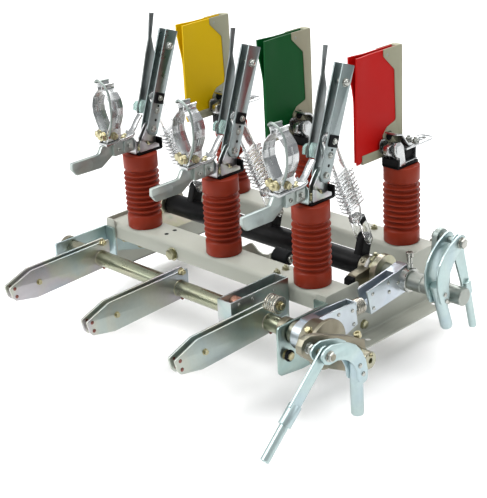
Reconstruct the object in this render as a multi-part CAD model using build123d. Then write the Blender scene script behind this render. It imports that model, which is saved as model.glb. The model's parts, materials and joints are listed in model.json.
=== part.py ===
from build123d import *
import os
from math import sin, cos, pi, radians, atan2, degrees, hypot

os.makedirs("parts", exist_ok=True)

# ---------------------------------------------------------------------------
# Three-pole air load break switch with an earthing switch on one base frame.
# Millimetres.  Working frame of the dimensions below: X runs along the beams
# (left to right), Y from the earthing side (front) to the arc chute side
# (rear), Z up; its zero is the foot centre of the left front insulator.
# Every solid is moved by (-OX, -OY, -OZ) on writing, so that the part's own
# origin is the centre of the underside of the right mounting flange.
# ---------------------------------------------------------------------------

# driving dimensions
PITCH = 210.0            # phase distance
ROW = 234.5              # front to rear insulator axes
INS_H = 141.6            # insulator height
INS_D = 63.7             # insulator collar diameter
SHEDS = 9                # grooves between the sheds
BEAM_W = 64.0            # beam width
BEAM_H = 30.0            # beam depth
SHEET = 3.0              # frame sheet thickness
FRAME_X0, FRAME_X1 = -72.0, 480.0     # outer faces of the side plates
FLANGE_Z = -98.5         # upper face of the mounting flanges
FLANGE_W = 37.0          # flange width
MAIN_Y, MAIN_Z = 120.0, -8.0          # main shaft axis
EARTH_Y, EARTH_Z = -117.0, -27.0      # earthing shaft axis
PIV_Y, PIV_Z = 28.0, 181.0            # blade pivot
PX_Y, PX_Z = 47.0, 234.0              # pull rod pivot on the blade
LEV_R = 45.0                          # lever radius of the main shaft
LEV_A = 73.0                          # lever angle above +Y at rest
BLADE_A = 70.0                        # blade angle above +Y at rest
PIN_R = 3.5                           # pin of rod and lever
OPEN_GAP = 3.5                        # play of that pin in the lever hole
CHUTE_X = -27.0                       # arc chute plane beside the phase axis

OX = FRAME_X1 + FLANGE_W / 2.0
OY = 136.0
OZ = FLANGE_Z - SHEET

PHASES = [0.0, PITCH, 2 * PITCH]
Q_Y = MAIN_Y + LEV_R * cos(radians(LEV_A))
Q_Z = MAIN_Z + LEV_R * sin(radians(LEV_A))


# ---------------------------------------------------------------------------
# helpers
# ---------------------------------------------------------------------------
def box(x0, x1, y0, y1, z0, z1):
    return Pos((x0 + x1) / 2, (y0 + y1) / 2, (z0 + z1) / 2) * Box(abs(x1 - x0), abs(y1 - y0), abs(z1 - z0))


def cx(x0, x1, y, z, r):
    return Pos((x0 + x1) / 2, y, z) * Rot(0, 90, 0) * Cylinder(r, abs(x1 - x0))


def cy(y0, y1, x, z, r):
    return Pos(x, (y0 + y1) / 2, z) * Rot(90, 0, 0) * Cylinder(r, abs(y1 - y0))


def cz(z0, z1, x, y, r):
    return Pos(x, y, (z0 + z1) / 2) * Cylinder(r, abs(z1 - z0))


def yz(pts, x0, x1):
    f = Plane(origin=(x0, 0, 0), x_dir=(0, 1, 0), z_dir=(1, 0, 0)) * make_face(Polyline(*pts, close=True))
    return extrude(f, amount=x1 - x0, dir=(1, 0, 0))


def xz(pts, y0, y1):
    f = Plane(origin=(0, y0, 0), x_dir=(1, 0, 0), z_dir=(0, -1, 0)) * make_face(Polyline(*pts, close=True))
    return extrude(f, amount=y1 - y0, dir=(0, 1, 0))


def xy(pts, z0, z1):
    f = Plane(origin=(0, 0, z0), x_dir=(1, 0, 0), z_dir=(0, 0, 1)) * make_face(Polyline(*pts, close=True))
    return extrude(f, amount=z1 - z0, dir=(0, 0, 1))


def rod3(a, b, r):
    d = Vector(*b) - Vector(*a)
    pl = Plane(origin=((a[0] + b[0]) / 2, (a[1] + b[1]) / 2, (a[2] + b[2]) / 2), z_dir=d.normalized())
    return pl * Cylinder(r, d.length)


def lobe(ya, za, ra, yb, zb, rb, x0, x1, n=14):
    """Tapered lever in the YZ plane round two centres."""
    d = hypot(yb - ya, zb - za)
    t = atan2(zb - za, yb - ya)
    k = (ra - rb) / d
    from math import acos
    g = acos(max(-1, min(1, k)))
    pts = []
    for i in range(n + 1):
        a = t - g + 2 * g * i / n
        pts.append((yb + rb * cos(a), zb + rb * sin(a)))
    for i in range(n + 1):
        a = t + g + (2 * pi - 2 * g) * i / n
        pts.append((ya + ra * cos(a), za + ra * sin(a)))
    return yz(pts, x0, x1)


def strip_yz(path, t, x0, x1):
    """Bent flat bar of thickness t along a path in the YZ plane."""
    n = len(path)
    nrm = []
    for i in range(n):
        if i == 0:
            d = (path[1][0] - path[0][0], path[1][1] - path[0][1])
        elif i == n - 1:
            d = (path[-1][0] - path[-2][0], path[-1][1] - path[-2][1])
        else:
            d1 = (path[i][0] - path[i - 1][0], path[i][1] - path[i - 1][1])
            d2 = (path[i + 1][0] - path[i][0], path[i + 1][1] - path[i][1])
            l1, l2 = hypot(*d1), hypot(*d2)
            d = (d1[0] / l1 + d2[0] / l2, d1[1] / l1 + d2[1] / l2)
        ln = hypot(*d)
        nrm.append((-d[1] / ln, d[0] / ln))
    up = [(p[0] + m[0] * t / 2, p[1] + m[1] * t / 2) for p, m in zip(path, nrm)]
    dn = [(p[0] - m[0] * t / 2, p[1] - m[1] * t / 2) for p, m in zip(path, nrm)]
    return yz(up + dn[::-1], x0, x1)


def ring_xz(outer, t, y0, y1):
    """Open or closed strip in the XZ plane given by its outer line, thickness t inward."""
    n = len(outer)
    inner = []
    for i in range(n):
        a = outer[max(i - 1, 0)]
        b = outer[min(i + 1, n - 1)]
        d = (b[0] - a[0], b[1] - a[1])
        ln = hypot(*d)
        inner.append((outer[i][0] + d[1] / ln * t, outer[i][1] - d[0] / ln * t))
    return xz(list(outer) + inner[::-1], y0, y1)


nodes = {}


def put(name, *shapes):
    out = []
    for s in shapes:
        if isinstance(s, (list, tuple)):
            out.extend(s)
        else:
            out.append(s)
    solids = []
    for s in out:
        m = Pos(-OX, -OY, -OZ) * s
        solids.extend(m.solids())
    nodes.setdefault(name, []).extend(solids)


def hexa(r):
    return [(r * cos(radians(60 * i)), r * sin(radians(60 * i))) for i in range(6)]


# ---------------------------------------------------------------------------
# base frame
# ---------------------------------------------------------------------------
def beam(yc):
    x0, x1 = FRAME_X0 + SHEET, FRAME_X1 - SHEET
    y0, y1 = yc - BEAM_W / 2, yc + BEAM_W / 2
    r = 8.0
    prof = []
    for i in range(6):
        a = radians(180 - 18 * i)
        prof.append((y0 + r + r * cos(a), -r + r * sin(a)))
    for i in range(6):
        a = radians(90 - 18 * i)
        prof.append((y1 - r + r * cos(a), -r + r * sin(a)))
    outer = [(y0, -BEAM_H)] + prof + [(y1, -BEAM_H)]
    ri = r - SHEET
    ip = []
    for i in range(6):
        a = radians(180 - 18 * i)
        ip.append((y0 + r + ri * cos(a), -r + ri * sin(a)))
    for i in range(6):
        a = radians(90 - 18 * i)
        ip.append((y1 - r + ri * cos(a), -r + ri * sin(a)))
    inner = [(y0 + SHEET, -BEAM_H)] + ip + [(y1 - SHEET, -BEAM_H)]
    # one closed outline: outside line there, inside line back
    return yz(outer + inner[::-1], x0, x1)


fb = beam(0.0)
rb = beam(ROW)
fb -= cy(-40, -20, 327.0, -15.0, 4.0)
fb -= cy(-40, -20, 343.0, -15.0, 4.0)
put("front_beam", fb)
put("rear_beam", rb)

Y_FRONT = -BEAM_W / 2
Y_REAR = ROW + BEAM_W / 2


def side_plate(sgn):
    """Z-section side plate: web, outward flange at the foot, inward lips at both ends."""
    xo = FRAME_X1 if sgn > 0 else FRAME_X0
    xi = xo - sgn * SHEET
    top = 1.5 if sgn > 0 else 7.0
    web = [(Y_FRONT - SHEET, FLANGE_Z - SHEET + 34), (Y_FRONT - SHEET + 34, FLANGE_Z - SHEET), (Y_REAR + SHEET, FLANGE_Z - SHEET), (Y_REAR + SHEET, top), (ROW - BEAM_W / 2 - 8, top),
           (ROW - BEAM_W / 2 - 34, -34), (158, -36), (150, -52), (88, -52), (80, -36), (56, -30), (46, -24), (46, top), (Y_FRONT - SHEET, top)]
    s = yz(web, min(xi, xo), max(xi, xo))
    xf = xo + sgn * FLANGE_W
    fl = xy([(xi, 6), (xf - sgn * 8, 6), (xf, 14), (xf, Y_REAR - 6), (xf - sgn * 8, Y_REAR + SHEET), (xi, Y_REAR + SHEET)], FLANGE_Z - SHEET, FLANGE_Z)
    s += fl
    s += box(xi, xi - sgn * 20, Y_FRONT - SHEET, Y_FRONT, -72, top)
    s += box(xi, xi - sgn * 20, Y_REAR, Y_REAR + SHEET, -72, top)
    # bolt holes of the flange
    xc = xo + sgn * FLANGE_W / 2
    for yh in (OY - 90, OY + 90):
        s -= cz(FLANGE_Z - 8, FLANGE_Z + 4, xc, yh, 5.5)
    # shaft clearance
    s -= cx(xo - 10, xo + 10, MAIN_Y, MAIN_Z, 24)
    return s


put("right_side_plate", side_plate(+1))
put("left_side_plate", side_plate(-1))

# bearing blocks of the main shaft on the side plates (cradles in the notches)
for xo, sg in ((FRAME_X1, 1), (FRAME_X0, -1)):
    xa, xb = sorted((xo - sg * SHEET, xo - sg * 15))
    blk = box(xa, xb, 76, 166, -60, -20) + cx(xa, xb, MAIN_Y, MAIN_Z, 30)
    blk -= cx(xa - 1, xb + 1, MAIN_Y, MAIN_Z, (16.05 if sg > 0 else 20.05))
    put("main_bearings", blk)


# ---------------------------------------------------------------------------
# insulators
# ---------------------------------------------------------------------------
def insulator(x, y):
    rc = INS_D / 2
    rs = rc + 0.9
    rg = 27.0
    zb, zt = 25.0, INS_H - 28.0
    p = (zt - zb) / SHEDS
    pts = [(0, 0), (rc - 1.5, 0), (rc, 1.5), (rc, zb)]
    for i in range(SHEDS):
        z = zb + p * i
        if i:
            pts.append((rs - 1.2, z - 0.13 * p))
            pts.append((rs, z))
            pts.append((rs - 1.2, z + 0.13 * p))
        pts.append((rg, z + 0.40 * p))
        pts.append((rg, z + 0.62 * p))
    pts += [(rc, zt), (rc, INS_H - 1.5), (rc - 1.5, INS_H), (0, INS_H)]
    f = make_face(Plane.XZ * Polyline(*pts, close=True))
    return Pos(x, y, 0) * revolve(f, Axis.Z)


for x in PHASES:
    put("front_insulators", insulator(x, 0.0))
    put("rear_insulators", insulator(x, ROW))

# ---------------------------------------------------------------------------
# front contacts (per phase): black cap, zinc bracket with two cheeks, strap,
# fuse clip, earthing contact
# ---------------------------------------------------------------------------
CAPT = 5.0
for x in PHASES:
    cap = xy([(x - 18, -17), (x + 18, -17), (x + 18, 41), (x - 18, 41)], INS_H, INS_H + CAPT)
    cap += box(x - 18, x + 18, 37, 41, INS_H + CAPT, INS_H + CAPT + 15)
    put("front_caps", cap)
    zb = INS_H + CAPT
    br = box(x - 14, x + 14, -17, 36, zb, zb + 3)
    br += box(x - 14, x + 14, -20, -17, zb - 3, zb + 29)
    for sg in (-1, 1):
        xa, xb = sorted((x + sg * 3.4, x + sg * 6.4))
        ck = yz([(4, zb + 2), (36, zb + 2), (36, 178), (34, 188), (28, 192), (20, 190), (14, 178), (4, 168)], xa, xb)
        br += ck
    br += cx(x - 13, x + 13, PIV_Y, PIV_Z, 5.0)
    put("front_brackets", br)
    # pivot bolt of the blade pair
    # strap from the fuse clip to the pivot: bent bar
    path = [(-84, 178), (-36, 178), (-22, 180), (-10, 190), (0, 203), (8, 211)]
    st = strip_yz(path, 5.0, x - 12, x + 12)
    st -= box(x + 6, x + 15, -18, 20, 170, 230)
    st -= box(x - 15, x - 6, -18, 20, 170, 230)
    put("clip_straps", st)
    # fuse clip: two bent spring arms, open at the top, on the strap
    for sg in (-1, 1):
        path2 = [(4, 183), (10, 185), (11, 199), (20, 216), (26, 231), (27, 244), (23, 259), (14, 270), (5, 277), (9, 287)]
        pts = [(x + sg * a, b) for a, b in path2]
        if sg < 0:
            out = pts
        else:
            out = pts[::-1]
        n = ring_xz(out, 2.0, -79, -51)
        put("fuse_clips", n)
    put("fuse_clips", box(x - 8, x + 8, -79, -51, 180.5, 183))
    # earthing contact tongue
    tg = yz([(-157, 163), (-158, 150), (-149, 138.5), (-92, 137.5), (-62, 156), (-62, 174), (-88, 174), (-96, 163)], x - 4, x + 4)
    tg += box(x - 4, x + 4, -64, -20, 152, 175.5)
    put("earth_contacts", tg)

# ---------------------------------------------------------------------------
# rear contacts (per phase): black cap, base, contact jaws, terminal
# ---------------------------------------------------------------------------
for x in PHASES:
    cap = box(x - 18, x + 18, 203, 260, INS_H, INS_H + CAPT)
    cap += box(x - 18, x + 18, 203, 207, INS_H + CAPT, INS_H + 17)
    put("rear_caps", cap)
    zb = INS_H + CAPT
    put("rear_caps", box(x - 9, x + 9, 232, 256, zb + 3, 170))
    jaw = box(x - 15.2, x + 15.2, 207.5, 259, zb, zb + 3)
    jaw += box(x - 14, x + 14, 256, 259, zb + 3, 170)
    for sg in (-1, 1):
        xa, xb = sorted((x + sg * 15.2, x + sg * 18.0))
        jaw += yz([(208, zb), (222, zb), (217, 166), (214, 190), (207, 201), (193, 202), (189, 196), (189, 172), (197, 166), (208, 162)], xa, xb)
    jaw += yz([(208, zb + 3), (230, zb + 3), (230, 178), (224, 192), (206, 194), (188, 189), (186, 168), (200, 163), (208, 162)], x - 6, x + 6)
    put("contact_jaws", jaw)
    term = xy([(x - 15, 230), (x + 15, 230), (x + 15, 300), (x + 9, 311), (x - 9, 311), (x - 15, 300)], 170, 174)
    term -= cz(160, 180, x, 291, 5.5)
    put("terminals", term)

# ---------------------------------------------------------------------------
# arc chutes: two coloured plates with a slot between them, in a moulded frame
# ---------------------------------------------------------------------------
CH_T = 3.0
CH_SLOT = 8.0
CH_SKIN = 1.5
for n, x in enumerate(PHASES):
    xc = x + CHUTE_X
    h = CH_SLOT / 2
    for sg in (-1, 1):
        xa, xb = sorted((xc + sg * h, xc + sg * (h + CH_T)))
        yf = 141 if sg > 0 else 149
        pl = yz([(yf, 159), (153, 159), (153, 165), (248, 165), (248, 344), (yf, 344)], xa, xb)
        put("arc_chute_%d" % (n + 1), pl)
    xo = h + CH_T
    fr = box(xc - xo, xc + xo, 248, 261, 157, 345)
    fr += box(xc - xo, xc + xo, 153, 249, 157, 165)
    for sg in (-1, 1):
        xa, xb = sorted((xc + sg * xo, xc + sg * (xo + CH_SKIN)))
        fr += yz([(153, 157), (261, 157), (261, 345), (211, 345), (211, 333), (240, 305), (243, 215), (219, 208), (208, 196), (208, 173), (153, 173)], xa, xb)
    put("chute_frames", fr)


# ---------------------------------------------------------------------------
# moving blades and pull rods
# ---------------------------------------------------------------------------
def along(o, ang, s, v):
    a = radians(ang)
    return (o[0] + s * cos(a) - v * sin(a), o[1] + s * sin(a) + v * cos(a))


for n, x in enumerate(PHASES):
    o = (PIV_Y, PIV_Z)
    L = 181.0
    prof = [along(o, BLADE_A, s, v) for s, v in ((-12, -9), (-8, -13), (L, -14.5), (L, 14.5), (-4, 13), (-12, 6))]
    bars = []
    for sg in (-1, 1):
        xa, xb = sorted((x + sg * 7.0, x + sg * 10.0))
        b = yz(prof, xa, xb)
        b -= cx(xa - 1, xb + 1, PIV_Y, PIV_Z, 5.06)
        bars.append(b)
    p1 = along(o, BLADE_A, 152, 0)
    sp = cx(x - 13, x + 13, p1[0], p1[1], 3.5)
    blade = bars[0] + bars[1] + sp + cx(x - 10, x + 10, PX_Y, PX_Z, 4.0)
    put("blade_%d" % (n + 1), blade)
    # auxiliary arc blade on the chute side
    xc = x + CHUTE_X
    arc = yz([(38, 252), (55, 311), (64, 336), (71, 382), (81, 379.5), (71.5, 337), (75.5, 309), (62, 246)], xc - 1.5, xc + 1.5)
    arc += yz([(22, 205), (40, 200), (52, 250), (36, 250)], xc - 1.5, xc + 1.5)
    arc += box(xc, x - 10.0, 30, 40, 202, 214)
    put("arc_blade_%d" % (n + 1), arc)

# pull rods
rod_dir = degrees(atan2(Q_Z - PX_Z, Q_Y - PX_Y))
rod_len = hypot(Q_Z - PX_Z, Q_Y - PX_Y)
for n, x in enumerate(PHASES):
    o = (PX_Y, PX_Z)
    P = lambda s, v: along(o, rod_dir, s, v)
    body = yz([P(-11, -9), P(0, -11), P(62, -12), P(70, -13), P(rod_len - 60, -13), P(rod_len - 52, -9), P(rod_len - 40, -9), P(rod_len - 40, 9), P(rod_len - 52, 9), P(rod_len - 60, 13), P(70, 13), P(62, 12), P(0, 11), P(-11, 9)], x - 4.5, x + 4.5)
    body -= cx(x - 10, x + 10, PX_Y, PX_Z, 4.06)
    a = radians(rod_dir)
    for i in range(9):
        s = 74 + i * 8.4
        c = P(s, 0)
        pl = Plane(origin=(x, c[0], c[1]), z_dir=(0, cos(a), sin(a)), x_dir=(1, 0, 0))
        body += pl * (Box(20, 44, 4.2))
    for sg in (-1, 1):
        xa, xb = sorted((x + sg * 9.0, x + sg * 12.0))
        t = lobe(P(rod_len - 44, 0)[0], P(rod_len - 44, 0)[1], 9.0, Q_Y, Q_Z, 8.5, xa, xb)
        body += t
    body += cx(x - 14, x + 14, Q_Y, Q_Z, PIN_R)
    c = P(rod_len - 45, 0)
    pl = Plane(origin=(x, c[0], c[1]), z_dir=(0, cos(a), sin(a)), x_dir=(1, 0, 0))
    body += pl * Box(24, 18, 14)
    put("pull_rod_%d" % (n + 1), body)

# ---------------------------------------------------------------------------
# main shaft
# ---------------------------------------------------------------------------
put("main_tube", cx(-66, 430, MAIN_Y, MAIN_Z, 20.0))
for x in PHASES:
    lv = lobe(MAIN_Y, MAIN_Z, 12.5, Q_Y, Q_Z, 11.5, x - 8, x + 8)
    lv -= cx(x - 9, x + 9, MAIN_Y, MAIN_Z, 20.0)
    lv -= cx(x - 9, x + 9, Q_Y, Q_Z, PIN_R + OPEN_GAP)
    put("main_levers", lv)
op = cx(430, 460, MAIN_Y, MAIN_Z, 19.0) + cx(460, 560, MAIN_Y, MAIN_Z, 16.0) + cx(560, 640, MAIN_Y, MAIN_Z, 15.0)
# stop lug on the shaft collar
op += yz([(56, -20), (57, -9), (66, -4), (104, 0), (104, -24), (68, -27)], 438, 456) - cx(430, 460, MAIN_Y, MAIN_Z, 18.5)
put("main_operating_shaft", op)
C1 = (121.0, 84.0)
arm = lobe(MAIN_Y, MAIN_Z, 24, C1[0], C1[1], 15, 584, 594)
arm -= cx(580, 600, MAIN_Y, MAIN_Z, 15.0)
arm += cx(576, 638, C1[0], C1[1], 5.0)
put("main_crank", arm)


def interlock(poly, yc, zc, rb, rs, x0=498.0, x1=520.0):
    s = yz(poly, x0, x1)
    return s


mi = yz([(20, 2), (60, 7), (100, 12), (120, 16), (120, -32), (30, -41)], 498, 520)
mi += cx(498, 520, MAIN_Y, MAIN_Z, 24)
mi -= yz([(-20, 60), (92, 60), (92, -10), (22, -26), (0, -30), (-20, -30)], 501, 517)
mi -= cx(490, 530, MAIN_Y, MAIN_Z, 16.0)
put("main_interlock_arm", mi)

# ---------------------------------------------------------------------------
# earthing shaft
# ---------------------------------------------------------------------------
es = cx(-92, 641, EARTH_Y, EARTH_Z, 14.0)
put("earth_shaft", es)
for x in PHASES:
    for sg in (-1, 1):
        xa, xb = sorted((x + sg * 5.0, x + sg * 9.0))
        u = [(-21, 30), (-21, -20), (148, -26), (192, -17), (198, -10), (203, 10), (155, 28)]
        pts = []
        for a, b in u:
            pts.append((EARTH_Y - a, EARTH_Z + b))
        bl = yz(pts, xa, xb)
        bl -= cx(xa - 1, xb + 1, EARTH_Y, EARTH_Z, 14.0)
        put("earth_blades", bl)
C2 = (-221.0, 26.0)
ea = yz([(-236, 20), (-236, 32), (-229, 41), (-215, 43), (-194, 37), (-131, 10), (-96, -8), (-92, -30), (-100, -46), (-140, -45), (-192, -18), (-226, 10)], 600, 612)
ea -= cx(590, 620, EARTH_Y, EARTH_Z, 14.0)
ea += cx(596, 661, C2[0], C2[1], 5.0)
put("earth_crank", ea)
hub = cx(522, 550, EARTH_Y, EARTH_Z, 33) + cx(550, 557, EARTH_Y, EARTH_Z, 41)
hub -= cx(500, 570, EARTH_Y, EARTH_Z, 14.0)
put("earth_hub", hub)
ei = yz([(-117, 0), (-60, -2), (-10, -5), (-4, -46), (-36, -55), (-117, -50)], 498, 520)
ei += cx(498, 520, EARTH_Y, EARTH_Z, 24)
ei -= yz([(-90, 30), (20, 30), (20, -40), (-36, -49), (-90, -46)], 501, 517)
ei += box(498, 520, -9, -6, -46, -5.5)
ei -= cx(490, 530, EARTH_Y, EARTH_Z, 14.0)
put("earth_interlock_arm", ei)
put("shaft_springs", cy(-6, 16.5, 509, -22, 13.5) - cy(-7, 18, 509, -22, 11.0))

# ---------------------------------------------------------------------------
# bearing plates of the earthing shaft
# ---------------------------------------------------------------------------
for xo, sg in ((FRAME_X1, 1), (FRAME_X0, -1)):
    xa, xb = sorted((xo, xo + sg * 4.0))
    outline = [(-153, -8), (-36, -8), (-36, -100), (-100, -100), (-153, -93)] if sg > 0 else [(-156, -8), (-36, -8), (-36, -66), (-156, -44)]
    bp = yz(outline, xa, xb)
    bp -= cx(xa - 1, xb + 1, EARTH_Y, EARTH_Z, 14.05)
    xf = sorted((xo + sg * 4.0, xo - sg * 24.0))
    bp += box(xf[0], xf[1], -39, -35.0, -70, -8)
    put("bearing_plates", bp)
put("bearing_plates", yz([(-31.5, -31), (75, -31), (75, -90), (-31.5, -61)], FRAME_X0 + SHEET, FRAME_X0 + 2 * SHEET))
put("earth_hub", cx(486, 496, EARTH_Y, EARTH_Z, 19) - cx(480, 500, EARTH_Y, EARTH_Z, 14.0))
put("earth_hub", cx(462, 476, EARTH_Y, EARTH_Z, 19) - cx(460, 480, EARTH_Y, EARTH_Z, 14.0))
put("earth_hub", cx(-90, -80, EARTH_Y, EARTH_Z, 19) - cx(-95, -70, EARTH_Y, EARTH_Z, 14.0))

# earthing spring carrier under the front beam
wall = [(-168, 14), (-36, 14), (-36, -52), (-142, -52), (-168, -28)]
car = yz(wall, 366, 369) + yz(wall, 394, 397) + box(366, 397, -168, -165, -28, 14)
car += box(366, 397, -39, -35.0, -62, 14)
car -= cx(360, 400, EARTH_Y, EARTH_Z, 19.2)
put("spring_carrier", car)
put("shaft_springs", cx(432, 458, EARTH_Y - 2, EARTH_Z + 38, 15) - cx(431, 460, EARTH_Y - 2, EARTH_Z + 38, 12.5))
put("earth_blades", cx(430, 462, EARTH_Y - 2, EARTH_Z + 38, 4))

# notched bracket behind the front beam with the rubber buffer and its ring
bb = xz([(206, -28), (292, -28), (292, -2), (281, 0), (274, -5), (266, -8), (256, -9), (246, -6), (238, 1), (232, 5), (226, 4), (214, -4), (206, -8)], 47, 50)
bb += box(206, 292, 32, 50, -29, -26)
bb += box(289, 292, 32, 50, -28, 6)
put("buffer_bracket", bb)
bu = cx(292, 327, 46, 1, 13.0) + cx(327, 331, 46, 1, 7.5) + cx(331, 338, 46, 1, 4.0)
put("rubber_buffer", bu)

# ---------------------------------------------------------------------------
# forks and links of the two cranks
# ---------------------------------------------------------------------------
mf_poly = [(120, 98), (108, 95), (94, 88), (78, 76), (67, 62), (61, 44), (62, 22), (68, 2), (72, -8), (88, -10), (93, 4), (90, 22), (94, 42), (104, 57), (116, 69), (128, 72), (135, 84), (131, 94)]
for xa, xb in ((603, 607), (627, 631)):
    p = yz(mf_poly, xa, xb) - cx(xa - 1, xb + 1, C1[0], C1[1], 5.05)
    put("main_fork", p)
tub = rod3((617, 78.0, 14.0), (617, 104, -60), 10.0)
put("main_fork", tub)
nodes["main_fork"] = (nodes["main_fork"][0] + nodes["main_fork"][1] + nodes["main_fork"][2]).solids()

ml = yz([(110, 84), (114, 93), (122, 97), (131, 92), (137, 80), (158, 2), (139.5, -2), (111, 74)], 618, 622)
ml -= cx(600, 640, C1[0], C1[1], 5.05)
ml += rod3((620, 148.5, 6), (620, 154, -16), 9.0)
ml += rod3((620, 151, -4), (620, 171.5, -84), 6.5)
put("main_link", ml)

ef_poly = [(-237, 26), (-231, 16), (-222, 12), (-204, 12), (-188, 7), (-177, 0), (-167, -12), (-161, -24), (-158, -43), (-148, -48), (-138, -46), (-137, -29), (-141, -11), (-151, 8), (-163, 22), (-178, 31), (-194, 36), (-215, 41), (-228, 39), (-236, 33)]
for xa, xb in ((628, 632), (649, 653)):
    p = yz(ef_poly, xa, xb) - cx(xa - 1, xb + 1, C2[0], C2[1], 5.05)
    put("earth_fork", p)
put("earth_fork", rod3((640.5, -150, -14), (640.5, -148, -104), 10.0))
nodes["earth_fork"] = (nodes["earth_fork"][0] + nodes["earth_fork"][1] + nodes["earth_fork"][2]).solids()

d = Vector(0, -351 + 221, -92 - 26).normalized()
e0 = Vector(642.5, C2[0], C2[1])


def epos(s, v, x=641.5):
    return (x, C2[0] + d.Y * s - d.Z * v, C2[1] + d.Z * s + d.Y * v)


poly = [epos(s, v)[1:] for s, v in ((-11, -6), (-6, -11), (94, -11), (94, 11), (-6, 11), (-11, 6))]
el = yz(poly, 639.5, 643.5) - cx(630, 650, C2[0], C2[1], 5.05)
el += rod3(epos(84, 0), epos(118, 0), 10.0)
el += rod3(epos(110, 0), epos(176, 0), 7.0)
put("earth_link", el)

# ---------------------------------------------------------------------------
# write one file per node
# ---------------------------------------------------------------------------
for f in os.listdir("parts"):
    if f.endswith(".step"):
        os.remove(os.path.join("parts", f))
for name, solids in nodes.items():
    if len(solids) == 1:
        export_step(solids[0], "parts/%s.step" % name)
    else:
        export_step(Compound(children=list(solids)), "parts/%s.step" % name)
print(len(nodes), "nodes", "Q", round(Q_Y, 2), round(Q_Z, 2), "rod", round(rod_len, 2), round(rod_dir, 2))
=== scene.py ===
import json
import bpy
import bmesh
from math import sin, cos, pi, radians, atan2, acos, hypot, sqrt
from mathutils import Vector, Matrix


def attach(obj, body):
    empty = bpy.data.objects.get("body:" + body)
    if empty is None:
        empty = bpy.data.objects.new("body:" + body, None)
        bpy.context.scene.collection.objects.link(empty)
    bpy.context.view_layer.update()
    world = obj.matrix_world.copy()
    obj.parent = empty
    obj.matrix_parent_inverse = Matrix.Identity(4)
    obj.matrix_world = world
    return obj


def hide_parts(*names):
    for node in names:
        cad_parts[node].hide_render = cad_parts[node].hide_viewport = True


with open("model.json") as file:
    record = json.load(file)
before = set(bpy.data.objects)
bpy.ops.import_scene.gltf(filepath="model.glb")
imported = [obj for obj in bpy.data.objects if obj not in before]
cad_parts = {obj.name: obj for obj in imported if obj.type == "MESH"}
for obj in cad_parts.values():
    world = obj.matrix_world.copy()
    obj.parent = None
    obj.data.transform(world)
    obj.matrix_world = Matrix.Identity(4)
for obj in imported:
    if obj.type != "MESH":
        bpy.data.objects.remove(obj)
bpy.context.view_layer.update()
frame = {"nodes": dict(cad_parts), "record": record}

# ---------------------------------------------------------------------------
# Working dimensions are millimetres: X along the beams, Y front to rear,
# Z up, zero at the foot centre of the left front insulator.
# ---------------------------------------------------------------------------
OX, OY, OZ = 498.5, 136.0, -101.5
PHASES = (0.0, 210.0, 420.0)
MAIN = (120.0, -8.0)
EARTH = (-117.0, -27.0)
PIV = (28.0, 181.0)
PXP = (47.0, 234.0)
C1 = (121.0, 84.0)
C2 = (-221.0, 26.0)
QP = (MAIN[0] + 45 * cos(radians(73)), MAIN[1] + 45 * sin(radians(73)))
BLADE_A = radians(70)


def V(x, y, z):
    return Vector(((x - OX) / 1000.0, (y - OY) / 1000.0, (z - OZ) / 1000.0))


# ---------------------------------------------------------------------------
# materials
# ---------------------------------------------------------------------------
MATS = {}


def new_mat(name):
    m = bpy.data.materials.new(name)
    m.use_nodes = True
    nt = m.node_tree
    nt.nodes.clear()
    out = nt.nodes.new("ShaderNodeOutputMaterial")
    b = nt.nodes.new("ShaderNodeBsdfPrincipled")
    nt.links.new(b.outputs[0], out.inputs[0])
    MATS[name] = m
    return m, nt, b


def noise(nt, scale, detail=3.0, rough=0.55, stretch=None, dist=0.0):
    tc = nt.nodes.new("ShaderNodeTexCoord")
    src = tc.outputs["Object"]
    if stretch:
        mp = nt.nodes.new("ShaderNodeMapping")
        mp.inputs["Scale"].default_value = stretch
        nt.links.new(src, mp.inputs["Vector"])
        src = mp.outputs["Vector"]
    n = nt.nodes.new("ShaderNodeTexNoise")
    n.inputs["Scale"].default_value = scale
    n.inputs["Detail"].default_value = detail
    n.inputs["Roughness"].default_value = rough
    n.inputs["Distortion"].default_value = dist
    nt.links.new(src, n.inputs["Vector"])
    return n.outputs["Fac"]


def ramp(nt, fac, stops):
    r = nt.nodes.new("ShaderNodeValToRGB")
    e = r.color_ramp.elements
    while len(e) > 1:
        e.remove(e[-1])
    e[0].position = stops[0][0]
    e[0].color = tuple(stops[0][1]) + (1,)
    for p, c in stops[1:]:
        k = e.new(p)
        k.color = tuple(c) + (1,)
    nt.links.new(fac, r.inputs["Fac"])
    return r.outputs["Color"]


def remap(nt, fac, a, b, lo=0.3, hi=0.7):
    m = nt.nodes.new("ShaderNodeMapRange")
    m.inputs["From Min"].default_value = lo
    m.inputs["From Max"].default_value = hi
    m.inputs["To Min"].default_value = a
    m.inputs["To Max"].default_value = b
    nt.links.new(fac, m.inputs["Value"])
    return m.outputs["Result"]


def mix(nt, a, b, fac=0.5, mode="MIX"):
    m = nt.nodes.new("ShaderNodeMix")
    m.data_type = "RGBA"
    m.blend_type = mode
    if isinstance(fac, float):
        m.inputs["Factor"].default_value = fac
    else:
        nt.links.new(fac, m.inputs["Factor"])
    for sock, val in (("A", a), ("B", b)):
        s = [i for i in m.inputs if i.name == sock and i.type == "RGBA"][0]
        if isinstance(val, tuple):
            s.default_value = val + (1,)
        else:
            nt.links.new(val, s)
    return [o for o in m.outputs if o.type == "RGBA"][0]


def bump(nt, b, fac, strength, dist=0.0006):
    n = nt.nodes.new("ShaderNodeBump")
    n.inputs["Strength"].default_value = strength
    n.inputs["Distance"].default_value = dist
    nt.links.new(fac, n.inputs["Height"])
    nt.links.new(n.outputs["Normal"], b.inputs["Normal"])


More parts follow.
